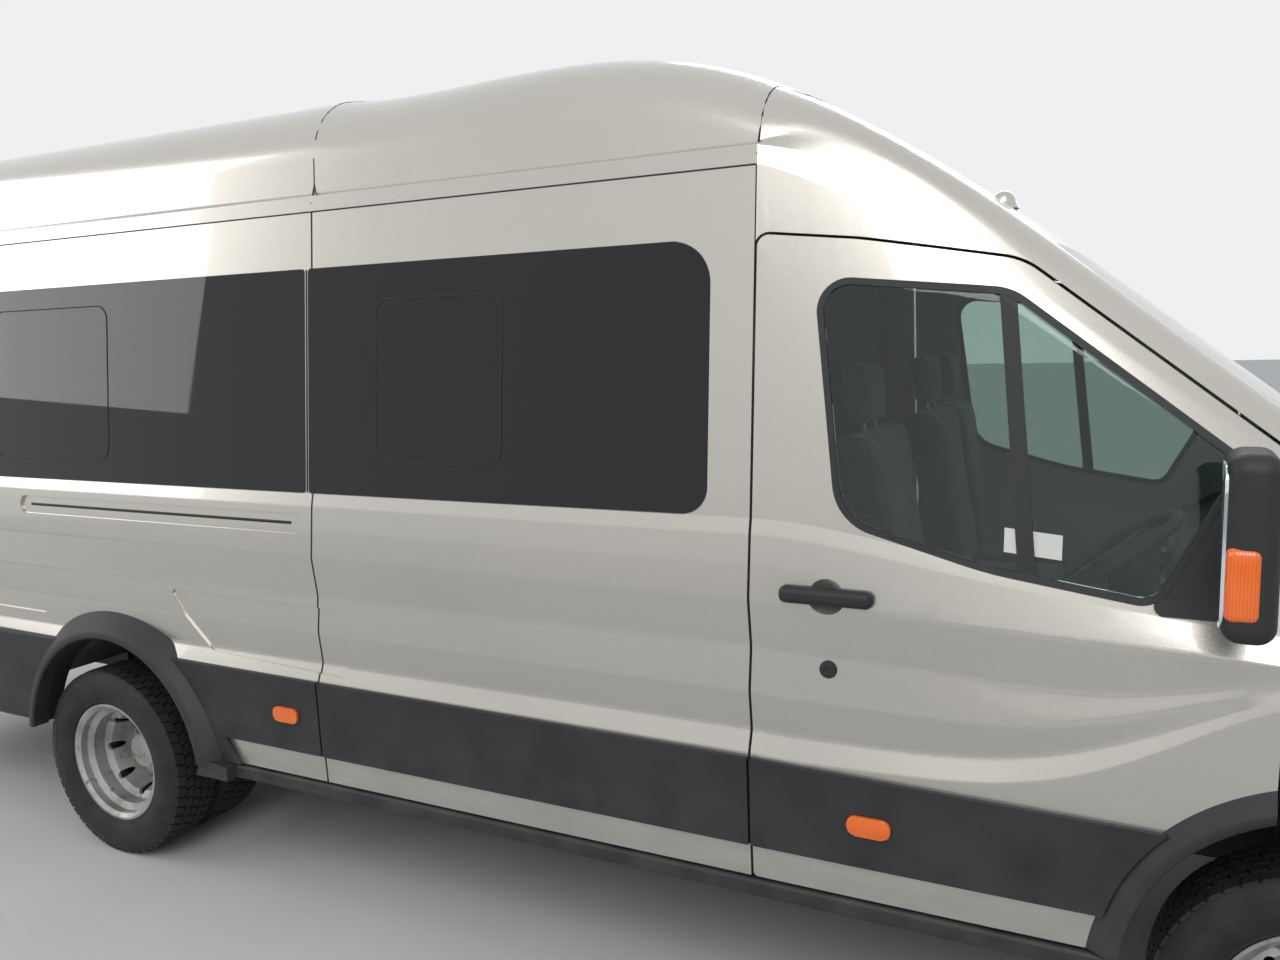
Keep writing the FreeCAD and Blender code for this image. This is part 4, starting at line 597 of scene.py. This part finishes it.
def sideBead(outlinePoints, side, radius, lift, closed=True, step=0.04):
    places = [onSide(x, z, side, lift)[0] for x, z in resampled(outlinePoints, step, closed)]
    return tube([p for p in places if p], radius, 6, closed)


# Wheels: tyres with cut tread blocks, nuts and valves
# Copies of the incoming shape, each turned one step further about the axes.
def turnedCopiesTree():
    tree = bpy.data.node_groups.new("turnedCopies", "GeometryNodeTree")
    ports = {}
    for label, kind in (("Geometry", "NodeSocketGeometry"), ("Count", "NodeSocketInt"),
                        ("Step", "NodeSocketVector"), ("Material", "NodeSocketMaterial")):
        ports[label] = tree.interface.new_socket(label, in_out="INPUT", socket_type=kind).identifier
    tree.interface.new_socket("Geometry", in_out="OUTPUT", socket_type="NodeSocketGeometry")
    start, end = tree.nodes.new("NodeGroupInput"), tree.nodes.new("NodeGroupOutput")
    points = tree.nodes.new("GeometryNodePoints")
    index = tree.nodes.new("GeometryNodeInputIndex")
    turns = tree.nodes.new("ShaderNodeVectorMath")
    turns.operation = "SCALE"
    instances = tree.nodes.new("GeometryNodeInstanceOnPoints")
    real = tree.nodes.new("GeometryNodeRealizeInstances")
    finish = tree.nodes.new("GeometryNodeSetMaterial")
    link = tree.links.new
    link(start.outputs["Count"], points.inputs["Count"])
    link(start.outputs["Step"], turns.inputs[0])
    link(index.outputs[0], turns.inputs["Scale"])
    link(points.outputs[0], instances.inputs["Points"])
    link(start.outputs["Geometry"], instances.inputs["Instance"])
    link(turns.outputs[0], instances.inputs["Rotation"])
    link(instances.outputs[0], real.inputs[0])
    link(real.outputs[0], finish.inputs["Geometry"])
    link(start.outputs["Material"], finish.inputs["Material"])
    link(finish.outputs[0], end.inputs[0])
    return tree, ports


turnedCopies, copyPorts = turnedCopiesTree()


# The shape repeated round the Y axis, moved to its place and made a plain bmesh.
def repeatedRound(form, count, material, place, sharp=35.0):
    for edge in form.edges:
        edge.smooth = len(edge.link_faces) == 2 and edge.calc_face_angle(0.0) < math.radians(sharp)
    mesh = bpy.data.meshes.new("single")
    form.to_mesh(mesh)
    form.free()
    holder = bpy.data.objects.new("repeater", mesh)
    scene.collection.objects.link(holder)
    modifier = holder.modifiers.new("copies", "NODES")
    modifier.node_group = turnedCopies
    modifier[copyPorts["Count"]] = count
    modifier[copyPorts["Step"]] = (0, math.tau / count, 0)
    modifier[copyPorts["Material"]] = material
    evaluated = holder.evaluated_get(bpy.context.evaluated_depsgraph_get())
    result = bpy.data.meshes.new_from_object(evaluated)
    result.transform(Matrix.Translation(place))
    made = bmesh.new()
    made.from_mesh(result)
    bpy.data.objects.remove(holder)
    bpy.data.meshes.remove(mesh)
    bpy.data.meshes.remove(result)
    return made


# The carcass's radius is "base". Each row of blocks has its place across and its width; a block fills a
# share of its pitch on both sides, and its outer edge drops at the shoulder.
tyreLook = {"blocks": 54, "radius": 0.3485, "base": 0.3405, "half": 0.0975, "share": 0.41, "skew": 0.004,
            "rows": ((-0.0655, 0.031), (-0.032, 0.027), (0.0, 0.026), (0.032, 0.027), (0.0655, 0.031)),
            "shoulder": 0.06, "drop": 0.0045, "sunk": 0.003, "shoulderSunk": 0.008, "rowShift": 0.37}


def treadBlock(row):
    radius, base = tyreLook["radius"], tyreLook["base"]
    centre, width = tyreLook["rows"][row]
    length = math.tau * radius / tyreLook["blocks"]
    skew = (-1) ** row * tyreLook["skew"]
    corners = []
    for along, sideways in ((-1, -1), (1, -1), (1, 1), (-1, 1)):
        outer = abs(centre) > tyreLook["shoulder"] and sideways * centre > 0
        angle = (along * length * tyreLook["share"] + skew * sideways) / radius
        low = base - tyreLook["sunk"] - (tyreLook["shoulderSunk"] if outer else 0.0)
        high = radius - (tyreLook["drop"] if outer else 0.0)
        corners.append((angle, centre + sideways * width / 2, low, high))
    block = bmesh.new()
    foot = [block.verts.new((r * math.sin(a), u, r * math.cos(a))) for a, u, r, _ in corners]
    top = [block.verts.new((r * math.sin(a), u, r * math.cos(a))) for a, u, _, r in corners]
    for k in range(4):
        block.faces.new((foot[k], foot[(k + 1) % 4], top[(k + 1) % 4], top[k]))
    block.faces.new(top)
    block.faces.new(foot)
    block.transform(Matrix.Rotation(math.tau / tyreLook["blocks"] * tyreLook["rowShift"] * row, 4, "Y"))
    bmesh.ops.recalc_face_normals(block, faces=block.faces)
    return block


# A carcass turned about the axle, with tread blocks around it.
def tyreForm(x, y):
    half, base = tyreLook["half"], tyreLook["base"]
    wall = [(0.2046, 0.0648), (0.2198, 0.0715), (0.2235, 0.0825), (0.2290, 0.0868), (0.2325, 0.0862),
            (0.2350, 0.0885), (0.2560, half - 0.0028), (0.2740, half), (0.2920, half - 0.0006),
            (0.3005, half - 0.0022), (0.3020, half - 0.0008), (0.3060, half - 0.0020),
            (0.3150, half - 0.0055), (0.3285, 0.0855), (0.3360, 0.0815), (base - 0.001, 0.0765),
            (base, 0.060)]
    profile = [(r, -u) for r, u in wall] + [(base + 0.0008, 0.0)] + list(reversed(wall))
    place = (x, y, wheelHeight)
    forms = [lathe(profile, place, "Y", 108)]
    for row in range(len(tyreLook["rows"])):
        forms.append(repeatedRound(treadBlock(row), tyreLook["blocks"], tyreRubber, place))
    return merged(forms)


nutLook = {"count": 6, "circle": 0.103, "radius": 0.014}


# A wheel nut on its circle, pointing away from the vehicle.
def nutForm(y, side):
    radius = nutLook["radius"]
    nut = lathe([(0.0, 0.0), (radius, 0.0), (radius, 0.014), (radius * 0.7, 0.022), (0.0, 0.024)],
                (0, 0, nutLook["circle"]), "Y", 6, closed=False)
    if side < 0:
        nut.transform(Matrix.Rotation(math.pi, 4, "Z"))
    nut.transform(Matrix.Translation((0, y, 0)))
    bmesh.ops.recalc_face_normals(nut, faces=nut.faces)
    return nut


# Tyres' places across, the rim's outer face across, and the valve: its radius and its two ends, given ahead
# of the axle, out from the face and above the axle.
axleLook = {"front": {"x": frontAxle, "tyres": (0.866,), "face": 0.978, "tyre": "front_tyre",
                      "body": "front_wheel", "valve": (0.0045, (0.17, -0.02, 0.02), (0.168, 0.02, 0.02))},
            "rear": {"x": rearAxle, "tyres": (0.926, 0.702), "face": 0.822, "tyre": "rear_tyres",
                     "body": "rear_wheels", "valve": (0.004, (0.15, 0.0, 0.0), (0.17, 0.045, 0.0))}}
for sideName, side in sides.items():
    for label, look in axleLook.items():
        x, bodyName, tyreName = look["x"], f"{look['body']}_{sideName}", f"{look['tyre']}_{sideName}"
        tyres = merged([tyreForm(x, side * y) for y in look["tyres"]])
        addPiece(f"{tyreName}_tread", tyres, tyreRubber, bodyName, [tyreName])
        nut = nutForm(side * look["face"], side)
        nuts = repeatedRound(nut, nutLook["count"], steel, (x, 0, wheelHeight))
        radius, *ends = look["valve"]
        valve = tube([(x + a, side * (look["face"] + b), wheelHeight + c) for a, b, c in ends], radius, 8)
        addPiece(f"{label}_nuts_{sideName}", merged([nuts, valve]), steel, bodyName)
print("wheels ready")

# Side windows: gaps between the panes, vent panes and the slot inside the guide rail, ahead of the axle
windowLook = {"heights": (1.389, 1.6, 1.85, 2.071), "gaps": (-2.728, -4.332), "gapRadius": 0.0052,
              "vents": ((-2.455, -2.005, 1.49, 1.97), (-4.30, -3.66, 1.46, 2.0)), "ventRound": 0.05,
              "beadRadius": 0.0022, "slot": ((-4.10, 1.29), (-2.80, 1.29)), "slotRadius": 0.006}
for sideName, side in sides.items():
    beads = []
    for x0, x1, z0, z1 in windowLook["vents"]:
        ventOutline = roundedOutline(ahead(x0), ahead(x1), z0, z1, windowLook["ventRound"])
        beads.append(sideBead(ventOutline, side, windowLook["beadRadius"], 0.0003))
    addPiece(f"vent_frames_{sideName}", merged(beads), rubber, "body")
    gaps = []
    for x in windowLook["gaps"]:
        # The pane beside the gap gives the gap's place across
        places = [onSide(ahead(x) - 0.008, z, side)[0] for z in windowLook["heights"]]
        points = [Vector((ahead(x), p.y - side * 0.003, p.z)) for p in places]
        gaps.append(tube(resampled(points, 0.08), windowLook["gapRadius"], 6))
    addPiece(f"glass_gaps_{sideName}", merged(gaps), rubber, "body")
    slot = [(ahead(x), z) for x, z in windowLook["slot"]]
    slotBead = sideBead(slot, side, windowLook["slotRadius"], -0.003, False, 0.1)
    addPiece(f"rail_slot_{sideName}", slotBead, softBlack, "body")

# Seals between the roof panels and along the gutter
seamLook = {"roof_seam_rear": ahead(-2.705), "roof_seam_front": ahead(-1.26) - 0.001}
sealLook = {"half": 0.86, "radius": 0.0028, "sunk": -0.0012, "sides": (2.27, 2.33, 2.40, 2.47, 2.53),
            "gutter": (ahead(-5.44), ahead(-1.2635)), "gutterHeight": 2.2455, "gutterRadius": 0.0026}


# A thin dark seal in the joint between two roof panels, from gutter to gutter.
def roofSeam(x):
    places = [onTop(x, sealLook["half"] * k / 30, sealLook["sunk"])[0] for k in range(-30, 31)]
    places = [p for p in places if p is not None and p.z > 2.2]
    for side in (-1, 1):
        end = places[0 if side < 0 else -1]
        edge = [onSide(x, z, side, sealLook["sunk"])[0] for z in sealLook["sides"]]
        edge = [p for p in edge if p is not None and abs(p.y) > abs(end.y)]
        places = edge + places if side < 0 else places + edge[::-1]
    return tube(places, sealLook["radius"], 6)


for name, x in seamLook.items():
    addPiece(name, roofSeam(x), rubber, "body")
for sideName, side in sides.items():
    first, last = sealLook["gutter"]
    height = sealLook["gutterHeight"]
    seam = [onSide(first + (last - first) * k / 42, height, side, -0.0006)[0] for k in range(43)]
    seal = tube([p for p in seam if p], sealLook["gutterRadius"], 6)
    addPiece(f"gutter_seal_{sideName}", seal, rubber, "body")
print("windows and seams ready")

# Front doors: a blank card on the glass, the lock and the side lamp, placed ahead of the axle and up
doorLook = {"card": (-0.664, -0.543, 1.338, 1.392), "cardDrop": 0.012, "cardThick": 0.0004,
            "lock": (-1.06, 1.025), "lamp": (-1.006, -0.90, 0.630, 0.680), "lampRound": 0.021}


def blankCard(side):
    x0, x1, z0, z1 = doorLook["card"]
    card = bmesh.new()
    grid = []
    for k in range(4):
        row = []
        for i in range(7):
            x, z = x0 + (x1 - x0) * i / 6, z0 + (z1 - z0) * k / 3 - doorLook["cardDrop"] * i / 6
            row.append(card.verts.new(onSide(ahead(x), z, side, 0.0006)[0]))
        grid.append(row)
    for k in range(3):
        for i in range(6):
            card.faces.new((grid[k][i], grid[k][i + 1], grid[k + 1][i + 1], grid[k + 1][i]))
    back = bmesh.ops.extrude_face_region(card, geom=card.faces[:])
    lifted = [v for v in back["geom"] if isinstance(v, bmesh.types.BMVert)]
    bmesh.ops.translate(card, verts=lifted, vec=(0, side * doorLook["cardThick"], 0))
    return card


def doorLock(side):
    x, z = doorLook["lock"]
    place, _ = onSide(ahead(x), z, side)
    ring = lathe([(0.0, 0.006), (0.008, 0.006), (0.010, 0.008), (0.019, 0.007), (0.022, 0.002),
                  (0.022, -0.004), (0.0, -0.004)], (place.x, 0, place.z), "Y", 32)
    ring.transform(Matrix.Diagonal((1, side, 1, 1)))
    ring.transform(Matrix.Translation((0, place.y, 0)))
    return ring


def doorLamp(side):
    x0, x1, z0, z1 = doorLook["lamp"]
    face = [abs(onSide(ahead(x), (z0 + z1) / 2, side)[0].y) for x in (x0, x1)]
    depth = max(face) + 0.014
    lampOutline = roundedOutline(ahead(x0), ahead(x1), z0, z1, doorLook["lampRound"])
    return plate(lampOutline, lambda a, b, d: Vector((a, side * (depth + d), b)), -0.012, 0.008, 0.003)


# The mirror's glass faces back; its amber turn lamp wraps round the outer end
mirrorLook = {"x": -0.250, "y": 1.166, "half": 0.078, "z": (1.272, 1.574), "round": 0.028,
              "lamp": ((-0.246, -1.2665, 1.292), (-0.186, -1.222, 1.432)), "lampRound": 0.016}


def mirrorGlassForm(side):
    x, y = ahead(mirrorLook["x"]), side * mirrorLook["y"]
    glassOutline = roundedOutline(y - mirrorLook["half"], y + mirrorLook["half"], *mirrorLook["z"],
                                  mirrorLook["round"])
    return plate(glassOutline, lambda a, b, d: Vector((x - d, a, b)), -0.004, 0.0016, 0.0008)


def mirrorLamp(side):
    low, high = ((ahead(x), y, z) for x, y, z in mirrorLook["lamp"])
    lens = roundedBox(low, high, mirrorLook["lampRound"], 4)
    if side > 0:
        lens.transform(Matrix.Diagonal((1, -1, 1, 1)))
    return lens


addPiece("blank_label_right", blankCard(-1), whitePlate, "front_door_right")
for sideName, side in sides.items():
    body = f"front_door_{sideName}"
    addPiece(f"door_lock_{sideName}", doorLock(side), blackPlastic, body)
    addPiece(f"door_lamp_{sideName}", doorLamp(side), lampAmber, body)
    addPiece(f"mirror_glass_{sideName}", mirrorGlassForm(side), mirrorGlass, body)
    addPiece(f"mirror_lamp_{sideName}", mirrorLamp(side), lampAmber, body)
print("door fittings ready")


# Seats: padded shapes simulated once and repeated at every place
def roundedCorners(corners, radii, steps=4):
    points = []
    count = len(corners)
    for i, (corner, radius) in enumerate(zip(corners, radii)):
        here = Vector(corner)
        before = (Vector(corners[i - 1]) - here).normalized()
        after = (Vector(corners[(i + 1) % count]) - here).normalized()
        for k in range(steps + 1):
            share = k / steps
            points.append(here + before * radius * (1 - share) ** 2 + after * radius * share ** 2)
    return points


# Each pad: its corners and their radii seen from the side, its width, the sewn rows across, and how far the
# cloth may swell.
padLook = {
    "cushion": {"corners": [(-0.230, 0.0), (0.215, 0.0), (0.235, 0.115), (-0.230, 0.100)],
                "radii": (0.03, 0.04, 0.045, 0.03), "width": 0.42, "sewn": (-0.11, 0.11), "swell": 0.014},
    "back": {"corners": [(-0.225, 0.1025), (-0.120, 0.1035), (-0.215, 0.690), (-0.310, 0.690)],
             "radii": (0.03, 0.03, 0.04, 0.04), "width": 0.41, "sewn": (-0.115, 0.115), "swell": 0.012},
    "rest": {"corners": [(-0.240, 0.6905), (-0.300, 0.6905), (-0.320, 0.860), (-0.255, 0.860)],
             "radii": (0.016, 0.016, 0.025, 0.025), "width": 0.25, "sewn": (), "swell": 0.01},
}
clothLook = {"shrink": 0.006, "voxel": 0.015, "pressure": 4.0, "frames": 15, "seamWidth": 0.007,
             "seamDepth": 0.007}


# The pad's outline carried across, blown up a little by cloth pressure, then sewn.
def swollen(name):
    look, shrink = padLook[name], clothLook["shrink"]
    corners, half = look["corners"], look["width"] / 2
    middle = sum((Vector(c) for c in corners), Vector((0, 0))) / len(corners)
    inner = [Vector(c) + (middle - Vector(c)).normalized() * shrink for c in corners]
    form = plate(roundedCorners(inner, look["radii"]), lambda a, b, d: Vector((a, d, b)), shrink - half,
                 half - shrink)
    bmesh.ops.recalc_face_normals(form, faces=form.faces)
    mesh = bpy.data.meshes.new(name)
    form.to_mesh(mesh)
    form.free()
    pad = bpy.data.objects.new(name, mesh)
    scene.collection.objects.link(pad)
    bpy.context.view_layer.objects.active = pad
    remesh = pad.modifiers.new("remesh", "REMESH")
    remesh.mode = "VOXEL"
    remesh.voxel_size = clothLook["voxel"]
    bpy.ops.object.modifier_apply(modifier="remesh")
    rest = [v.co.copy() for v in pad.data.vertices]
    cloth = pad.modifiers.new("cloth", "CLOTH")
    cloth.settings.use_pressure = True
    cloth.settings.uniform_pressure_force = clothLook["pressure"]
    cloth.settings.effector_weights.gravity = 0.0
    cloth.settings.quality = 5
    for step in range(1, clothLook["frames"] + 1):
        scene.frame_set(step)
    bpy.ops.object.modifier_apply(modifier="cloth")
    scene.frame_set(1)
    low, high = [min(c[i] for c in corners) for i in (0, 1)], [max(c[i] for c in corners) for i in (0, 1)]
    for vert, start in zip(pad.data.vertices, rest):
        move = vert.co - start
        if move.length > look["swell"]:
            vert.co = start + move.normalized() * look["swell"]
        sewn = sum(math.exp(-((vert.co.y - y) / clothLook["seamWidth"]) ** 2) for y in look["sewn"])
        inward = Vector((middle.x, vert.co.y, middle.y)) - vert.co
        vert.co += inward.normalized() * clothLook["seamDepth"] * min(sewn, 1)
        vert.co.x = min(max(vert.co.x, low[0]), high[0])
        vert.co.z = min(max(vert.co.z, low[1]), high[1])
        vert.co.y = min(max(vert.co.y, -half), half)
    points = [v.co.copy() for v in pad.data.vertices]
    faces = [tuple(p.vertices) for p in pad.data.polygons]
    bpy.data.objects.remove(pad)
    return points, faces


# Rows ahead of the axle with the seats' places across, and the cab's seats with their widths
sideY, middleY = 0.63, 0.19
seatLook = {"rows": [(-1.900, (-sideY, -middleY, sideY)), (-2.660, (-sideY, -middleY, sideY)),
                     (-3.420, (-sideY, -middleY, sideY)), (-4.180, (-sideY, -middleY, sideY)),
                     (-5.000, (-sideY, -middleY - 0.005, middleY + 0.045, sideY + 0.005))],
            "height": 0.980, "cabRow": -0.82, "cabHeight": 0.895,
            "cab": ((-0.5, 0.48), (0.33, 0.40), (0.7, 0.32))}
padShapes = {part: swollen(part) for part in padLook}
seatPlaces = [(ahead(x), y, seatLook["height"], 1.0) for x, row in seatLook["rows"] for y in row]
cabPlaces = [(ahead(seatLook["cabRow"]), y, seatLook["cabHeight"], width / padLook["cushion"]["width"])
             for y, width in seatLook["cab"]]


def padsAt(part, places, name):
    points, faces = padShapes[part]
    allPoints, allFaces = [], []
    for x, y, z, wide in places:
        base = len(allPoints)
        scale = min(wide, 1.15 if part != "rest" else 1.0)
        allPoints += [(p.x + x, p.y * scale + y, p.z + z) for p in points]
        allFaces += [tuple(base + i for i in face) for face in faces]
    mesh = bpy.data.meshes.new(name)
    mesh.from_pydata(allPoints, [], allFaces)
    mesh.shade_smooth()
    piece = addMesh(name, mesh, seatCloth, "body", ["seat_cushions"])


for part in padLook:
    padsAt(part, seatPlaces, f"passenger_{part}s")
    padsAt(part, cabPlaces, f"cab_{part}s")
posts = []
for x, y, z, _ in seatPlaces + cabPlaces:
    posts += [tube([(x - 0.262, y + off, z + 0.66), (x - 0.274, y + off, z + 0.72)], 0.006, 8)
              for off in (-0.06, 0.06)]
addPiece("headrest_posts", merged(posts), steel, "body")
print("seats ready")

# Dashboard, ahead of the axle: hood, screen and console as low and high corners with a rounding, air vents
# as their places across with four slats each, and the gear lever
dashLook = {"boxes": (((-0.33, -0.70, 1.14), (-0.09, -0.32, 1.255), 0.03, 4),
                      ((-0.338, -0.13, 1.06), (-0.30, 0.13, 1.20), 0.01, 3),
                      ((-0.375, -0.14, 0.93), (-0.315, 0.14, 1.045), 0.02, 3)),
            "vents": (-0.80, -0.22, 0.24, 0.80), "ventX": (-0.352, -0.322), "ventHeight": 1.075,
            "ventHalf": 0.05, "slat": 0.007, "slatStep": 0.017, "leverY": -0.06}
boxes = [roundedBox((ahead(low[0]), *low[1:]), (ahead(high[0]), *high[1:]), radius, steps)
         for low, high, radius, steps in dashLook["boxes"]]
addPiece("dash_fittings", merged(boxes), dashGrey, "body")
slats = []
backX, frontX = (ahead(x) for x in dashLook["ventX"])
for y in dashLook["vents"]:
    y0, y1 = y - dashLook["ventHalf"], y + dashLook["ventHalf"]
    for k in range(4):
        z = dashLook["ventHeight"] + dashLook["slatStep"] * k
        slats.append(roundedBox((backX, y0, z), (frontX, y1, z + dashLook["slat"]), 0.002, 1))
addPiece("dash_vents", merged(slats), softBlack, "body")
leverY = dashLook["leverY"]
lever = merged([tube([(ahead(-0.40), leverY, 0.98), (ahead(-0.46), leverY, 1.08)], 0.011, 12),
                lathe([(0.0, -0.03), (0.018, -0.03), (0.026, 0.0), (0.022, 0.022), (0.0, 0.03)],
                      (ahead(-0.465), leverY, 1.095), "Z", 20, closed=False)])
addPiece("gear_lever", lever, softBlack, "body")
print("cab ready")

# Blank plates: half width, half height, corner; the front one's height on the bumper
plateLook = {"half": 0.26, "halfHeight": 0.056, "round": 0.008, "front": 0.53}
plateZ = plateLook["front"]
bumperTree = surfaceTree(["front_bumper"])
bumperFace, _, _, _ = bumperTree.ray_cast(Vector((4.2, 0, plateZ)), Vector((-1, 0, 0)))
plateOutline = roundedOutline(-plateLook["half"], plateLook["half"], plateZ - plateLook["halfHeight"],
                              plateZ + plateLook["halfHeight"], plateLook["round"])
frontPlate = plate(plateOutline, lambda a, b, d: Vector((bumperFace.x + 0.001 + d, a, b)), 0.0, 0.003, 0.001)
addPiece("front_plate", frontPlate, whitePlate, "body")

# Wipers: each one's foot and its reach across, then places ahead of the axle
wiperLook = {"wipers": ((-0.62, 0.62), (0.12, 0.60)), "foot": 0.30, "tip": 0.16, "blade": (0.20, 0.17),
             "behindTip": 0.33, "bladeSpan": 0.60}
arms = []
for y, across in wiperLook["wipers"]:
    foot, _ = onTop(ahead(wiperLook["foot"]), y, 0.004)
    tip, _ = onTop(ahead(wiperLook["tip"]), y + across, 0.022)
    raised = Vector((0, 0, 0.03))
    arms.append(tube([foot, foot + raised, foot.lerp(tip, 0.3) + raised, tip], 0.0075, 8))
    arms.append(lathe([(0.0, 0.0), (0.02, 0.0), (0.02, 0.025), (0.014, 0.034), (0.0, 0.036)], foot, "Z", 20,
                      closed=False))
    span = wiperLook["bladeSpan"] * (1 if y < 0 else 0.9)
    start, end = wiperLook["blade"]
    inner = y + across - wiperLook["behindTip"]
    blade = [onTop(ahead(start + (end - start) * k / 8), inner + span * k / 8, 0.008)[0] for k in range(9)]
    arms.append(tube([p for p in blade if p], 0.006, 6, flatten=1.6))
addPiece("wipers", merged(arms), softBlack, "body")

# Nose lamps: bowls and bulbs behind each lens as place across, height and radius; fog lamps in the bumper
noseLook = {"bowls": ((0.795, 0.905, 0.062), (0.935, 0.965, 0.048)), "deep": 0.034,
            "fog": (3.205, 0.7, 0.42)}
for sideName, side in sides.items():
    bowls, bulbs = [], []
    for y, z, radius in noseLook["bowls"]:
        place, _ = onFront(side * y, z)
        deep = (place.x - noseLook["deep"], side * y, z)
        profile = [(radius, 0.018), (radius * 0.8, 0.004), (radius * 0.3, -0.010), (0.0, -0.012),
                   (0.0, -0.016), (radius * 0.3, -0.014), (radius * 0.83, 0.0), (radius + 0.003, 0.018)]
        bowls.append(lathe(profile, deep, "X", 40))
        bulbs.append(lathe([(0.0, -0.008), (0.009, -0.006), (0.011, 0.006), (0.006, 0.014), (0.0, 0.015)],
                           deep, "X", 20, closed=False))
    addPiece(f"lamp_bowls_{sideName}", merged(bowls), chrome, "body")
    addPiece(f"lamp_bulbs_{sideName}", merged(bulbs), lampWhite, "body")
    x, y, z = noseLook["fog"]
    fogLens = lathe([(0.0, -0.004), (0.043, -0.004), (0.043, 0.002), (0.030, 0.007), (0.0, 0.010)],
                    (x, side * y, z), "X", 40, closed=False)
    addPiece(f"fog_lens_{sideName}", fogLens, lampWhite, "body")
    fogRing = lathe([(0.0435, -0.006), (0.0505, -0.006), (0.0505, 0.010), (0.0475, 0.014), (0.0435, 0.008)],
                    (x, side * y, z), "X", 40)
    addPiece(f"fog_ring_{sideName}", fogRing, softBlack, "body")

# Rear: lamp bands as heights, then the place across and height of plate, handle and high brake lamp
rearLook = {"bandY": (0.862, 0.914), "amber": (1.215, 1.305), "clear": (1.075, 1.175),
            "plate": (0.40, 0.845), "handle": (-0.115, 0.985), "brake": (0.0, 2.50)}


# A flat plate that leans with the rear face; low and high are its depths behind that face.
def rearPlate(y0, y1, z0, z1, radius, low, high, bevel=0.001):
    faceX = [onRear(y, z)[0].x for y in (y0, y1) for z in (z0, z1)]
    lean = ((faceX[1] + faceX[3]) - (faceX[0] + faceX[2])) / 2 / (z1 - z0)
    middle = (z0 + z1) / 2
    base = sum(faceX) / 4
    return plate(roundedOutline(y0, y1, z0, z1, radius),
                 lambda a, b, d: Vector((base + lean * (b - middle) - d, a, b)), low, high, bevel)


for sideName, side in sides.items():
    y0, y1 = sorted(side * y for y in rearLook["bandY"])
    for key, material, slotName in (("amber", lampAmber, "lamp_amber"), ("clear", lampWhite, "lamp_clear")):
        band = rearPlate(y0, y1, *rearLook[key], 0.008, -0.002, 0.002)
        addPiece(f"tail_{key}_{sideName}", band, material, "body")
y, z = rearLook["plate"]
plateForm = rearPlate(y - plateLook["half"], y + plateLook["half"], z - plateLook["halfHeight"],
                      z + plateLook["halfHeight"], plateLook["round"], 0.0005, 0.0035)
addPiece("rear_plate", plateForm, whitePlate, "rear_door_left")
lightBar = rearPlate(y - 0.20, y + 0.20, z + 0.066, z + 0.092, 0.008, 0.0, 0.012, 0.004)
addPiece("plate_light", lightBar, blackPlastic, "rear_door_left")
y, z = rearLook["handle"]
handleBase = rearPlate(y - 0.045, y + 0.045, z - 0.11, z + 0.11, 0.02, -0.001, 0.004, 0.002)
handleGrip = rearPlate(y - 0.016, y + 0.016, z - 0.075, z + 0.085, 0.014, 0.004, 0.026, 0.008)
addPiece("rear_handle", merged([handleBase, handleGrip]), blackPlastic, "rear_door_right")
y, z = rearLook["brake"]
brakeLamp = rearPlate(y - 0.15, y + 0.15, z - 0.018, z + 0.018, 0.012, -0.002, 0.006, 0.003)
addPiece("high_brake_lamp", brakeLamp, lampRed, "body")
print("nose and rear ready")

# Studio: a pale floor, a plain world that metal and glass see brighter, and soft lamps aimed at the middle
studioLook = {"floorReach": 60.0, "sky": (0.93, 0.97, 1.0, 1), "skyStrength": 0.62,
              "shown": (0.86, 0.87, 0.88, 1), "aim": (0, 0, 1.2),
              "lamps": {"keyLight": ((2.5, -7.5, 6.5), 290, 5.0), "fillLight": ((-7.5, -4.0, 4.0), 120, 4.0),
                        "backLight": ((0.0, 7.5, 6.0), 170, 5.0)}}
floorMaterial = grained("paleFloor", (0.62, 0.62, 0.62), (0.60, 0.60, 0.60), 0.8, 60.0, 0.05)
reach = studioLook["floorReach"]
ground = bpy.data.meshes.new("ground")
ground.from_pydata([(-reach, -reach, 0), (reach, -reach, 0), (reach, reach, 0), (-reach, reach, 0)], [],
                   [(0, 1, 2, 3)])
ground.materials.append(floorMaterial)
groundObject = bpy.data.objects.new("ground", ground)
scene.collection.objects.link(groundObject)
world = bpy.data.worlds.new("studio")
world.use_nodes = True
scene.world = world
tree = world.node_tree
background = tree.nodes["Background"]
background.inputs["Strength"].default_value = studioLook["skyStrength"]
background.inputs["Color"].default_value = studioLook["sky"]
shown = tree.nodes.new("ShaderNodeBackground")
shown.inputs["Color"].default_value = studioLook["shown"]
path = tree.nodes.new("ShaderNodeLightPath")
chooser = tree.nodes.new("ShaderNodeMixShader")
either = tree.nodes.new("ShaderNodeMath")
anyRay = tree.nodes.new("ShaderNodeMath")
either.operation = anyRay.operation = "MAXIMUM"
tree.links.new(path.outputs["Is Camera Ray"], either.inputs[0])
tree.links.new(path.outputs["Is Glossy Ray"], either.inputs[1])
tree.links.new(either.outputs[0], anyRay.inputs[0])
tree.links.new(path.outputs["Is Transmission Ray"], anyRay.inputs[1])
tree.links.new(anyRay.outputs[0], chooser.inputs[0])
tree.links.new(background.outputs[0], chooser.inputs[1])
tree.links.new(shown.outputs[0], chooser.inputs[2])
tree.links.new(chooser.outputs[0], tree.nodes["World Output"].inputs["Surface"])
for name, (place, energy, width) in studioLook["lamps"].items():
    light = bpy.data.lights.new(name, "AREA")
    light.energy, light.size = energy, width
    holder = bpy.data.objects.new(name, light)
    aim = (Vector(studioLook["aim"]) - Vector(place)).to_track_quat("-Z", "Y")
    holder.matrix_world = Matrix.Translation(place) @ aim.to_matrix().to_4x4()
    scene.collection.objects.link(holder)
print("studio ready")
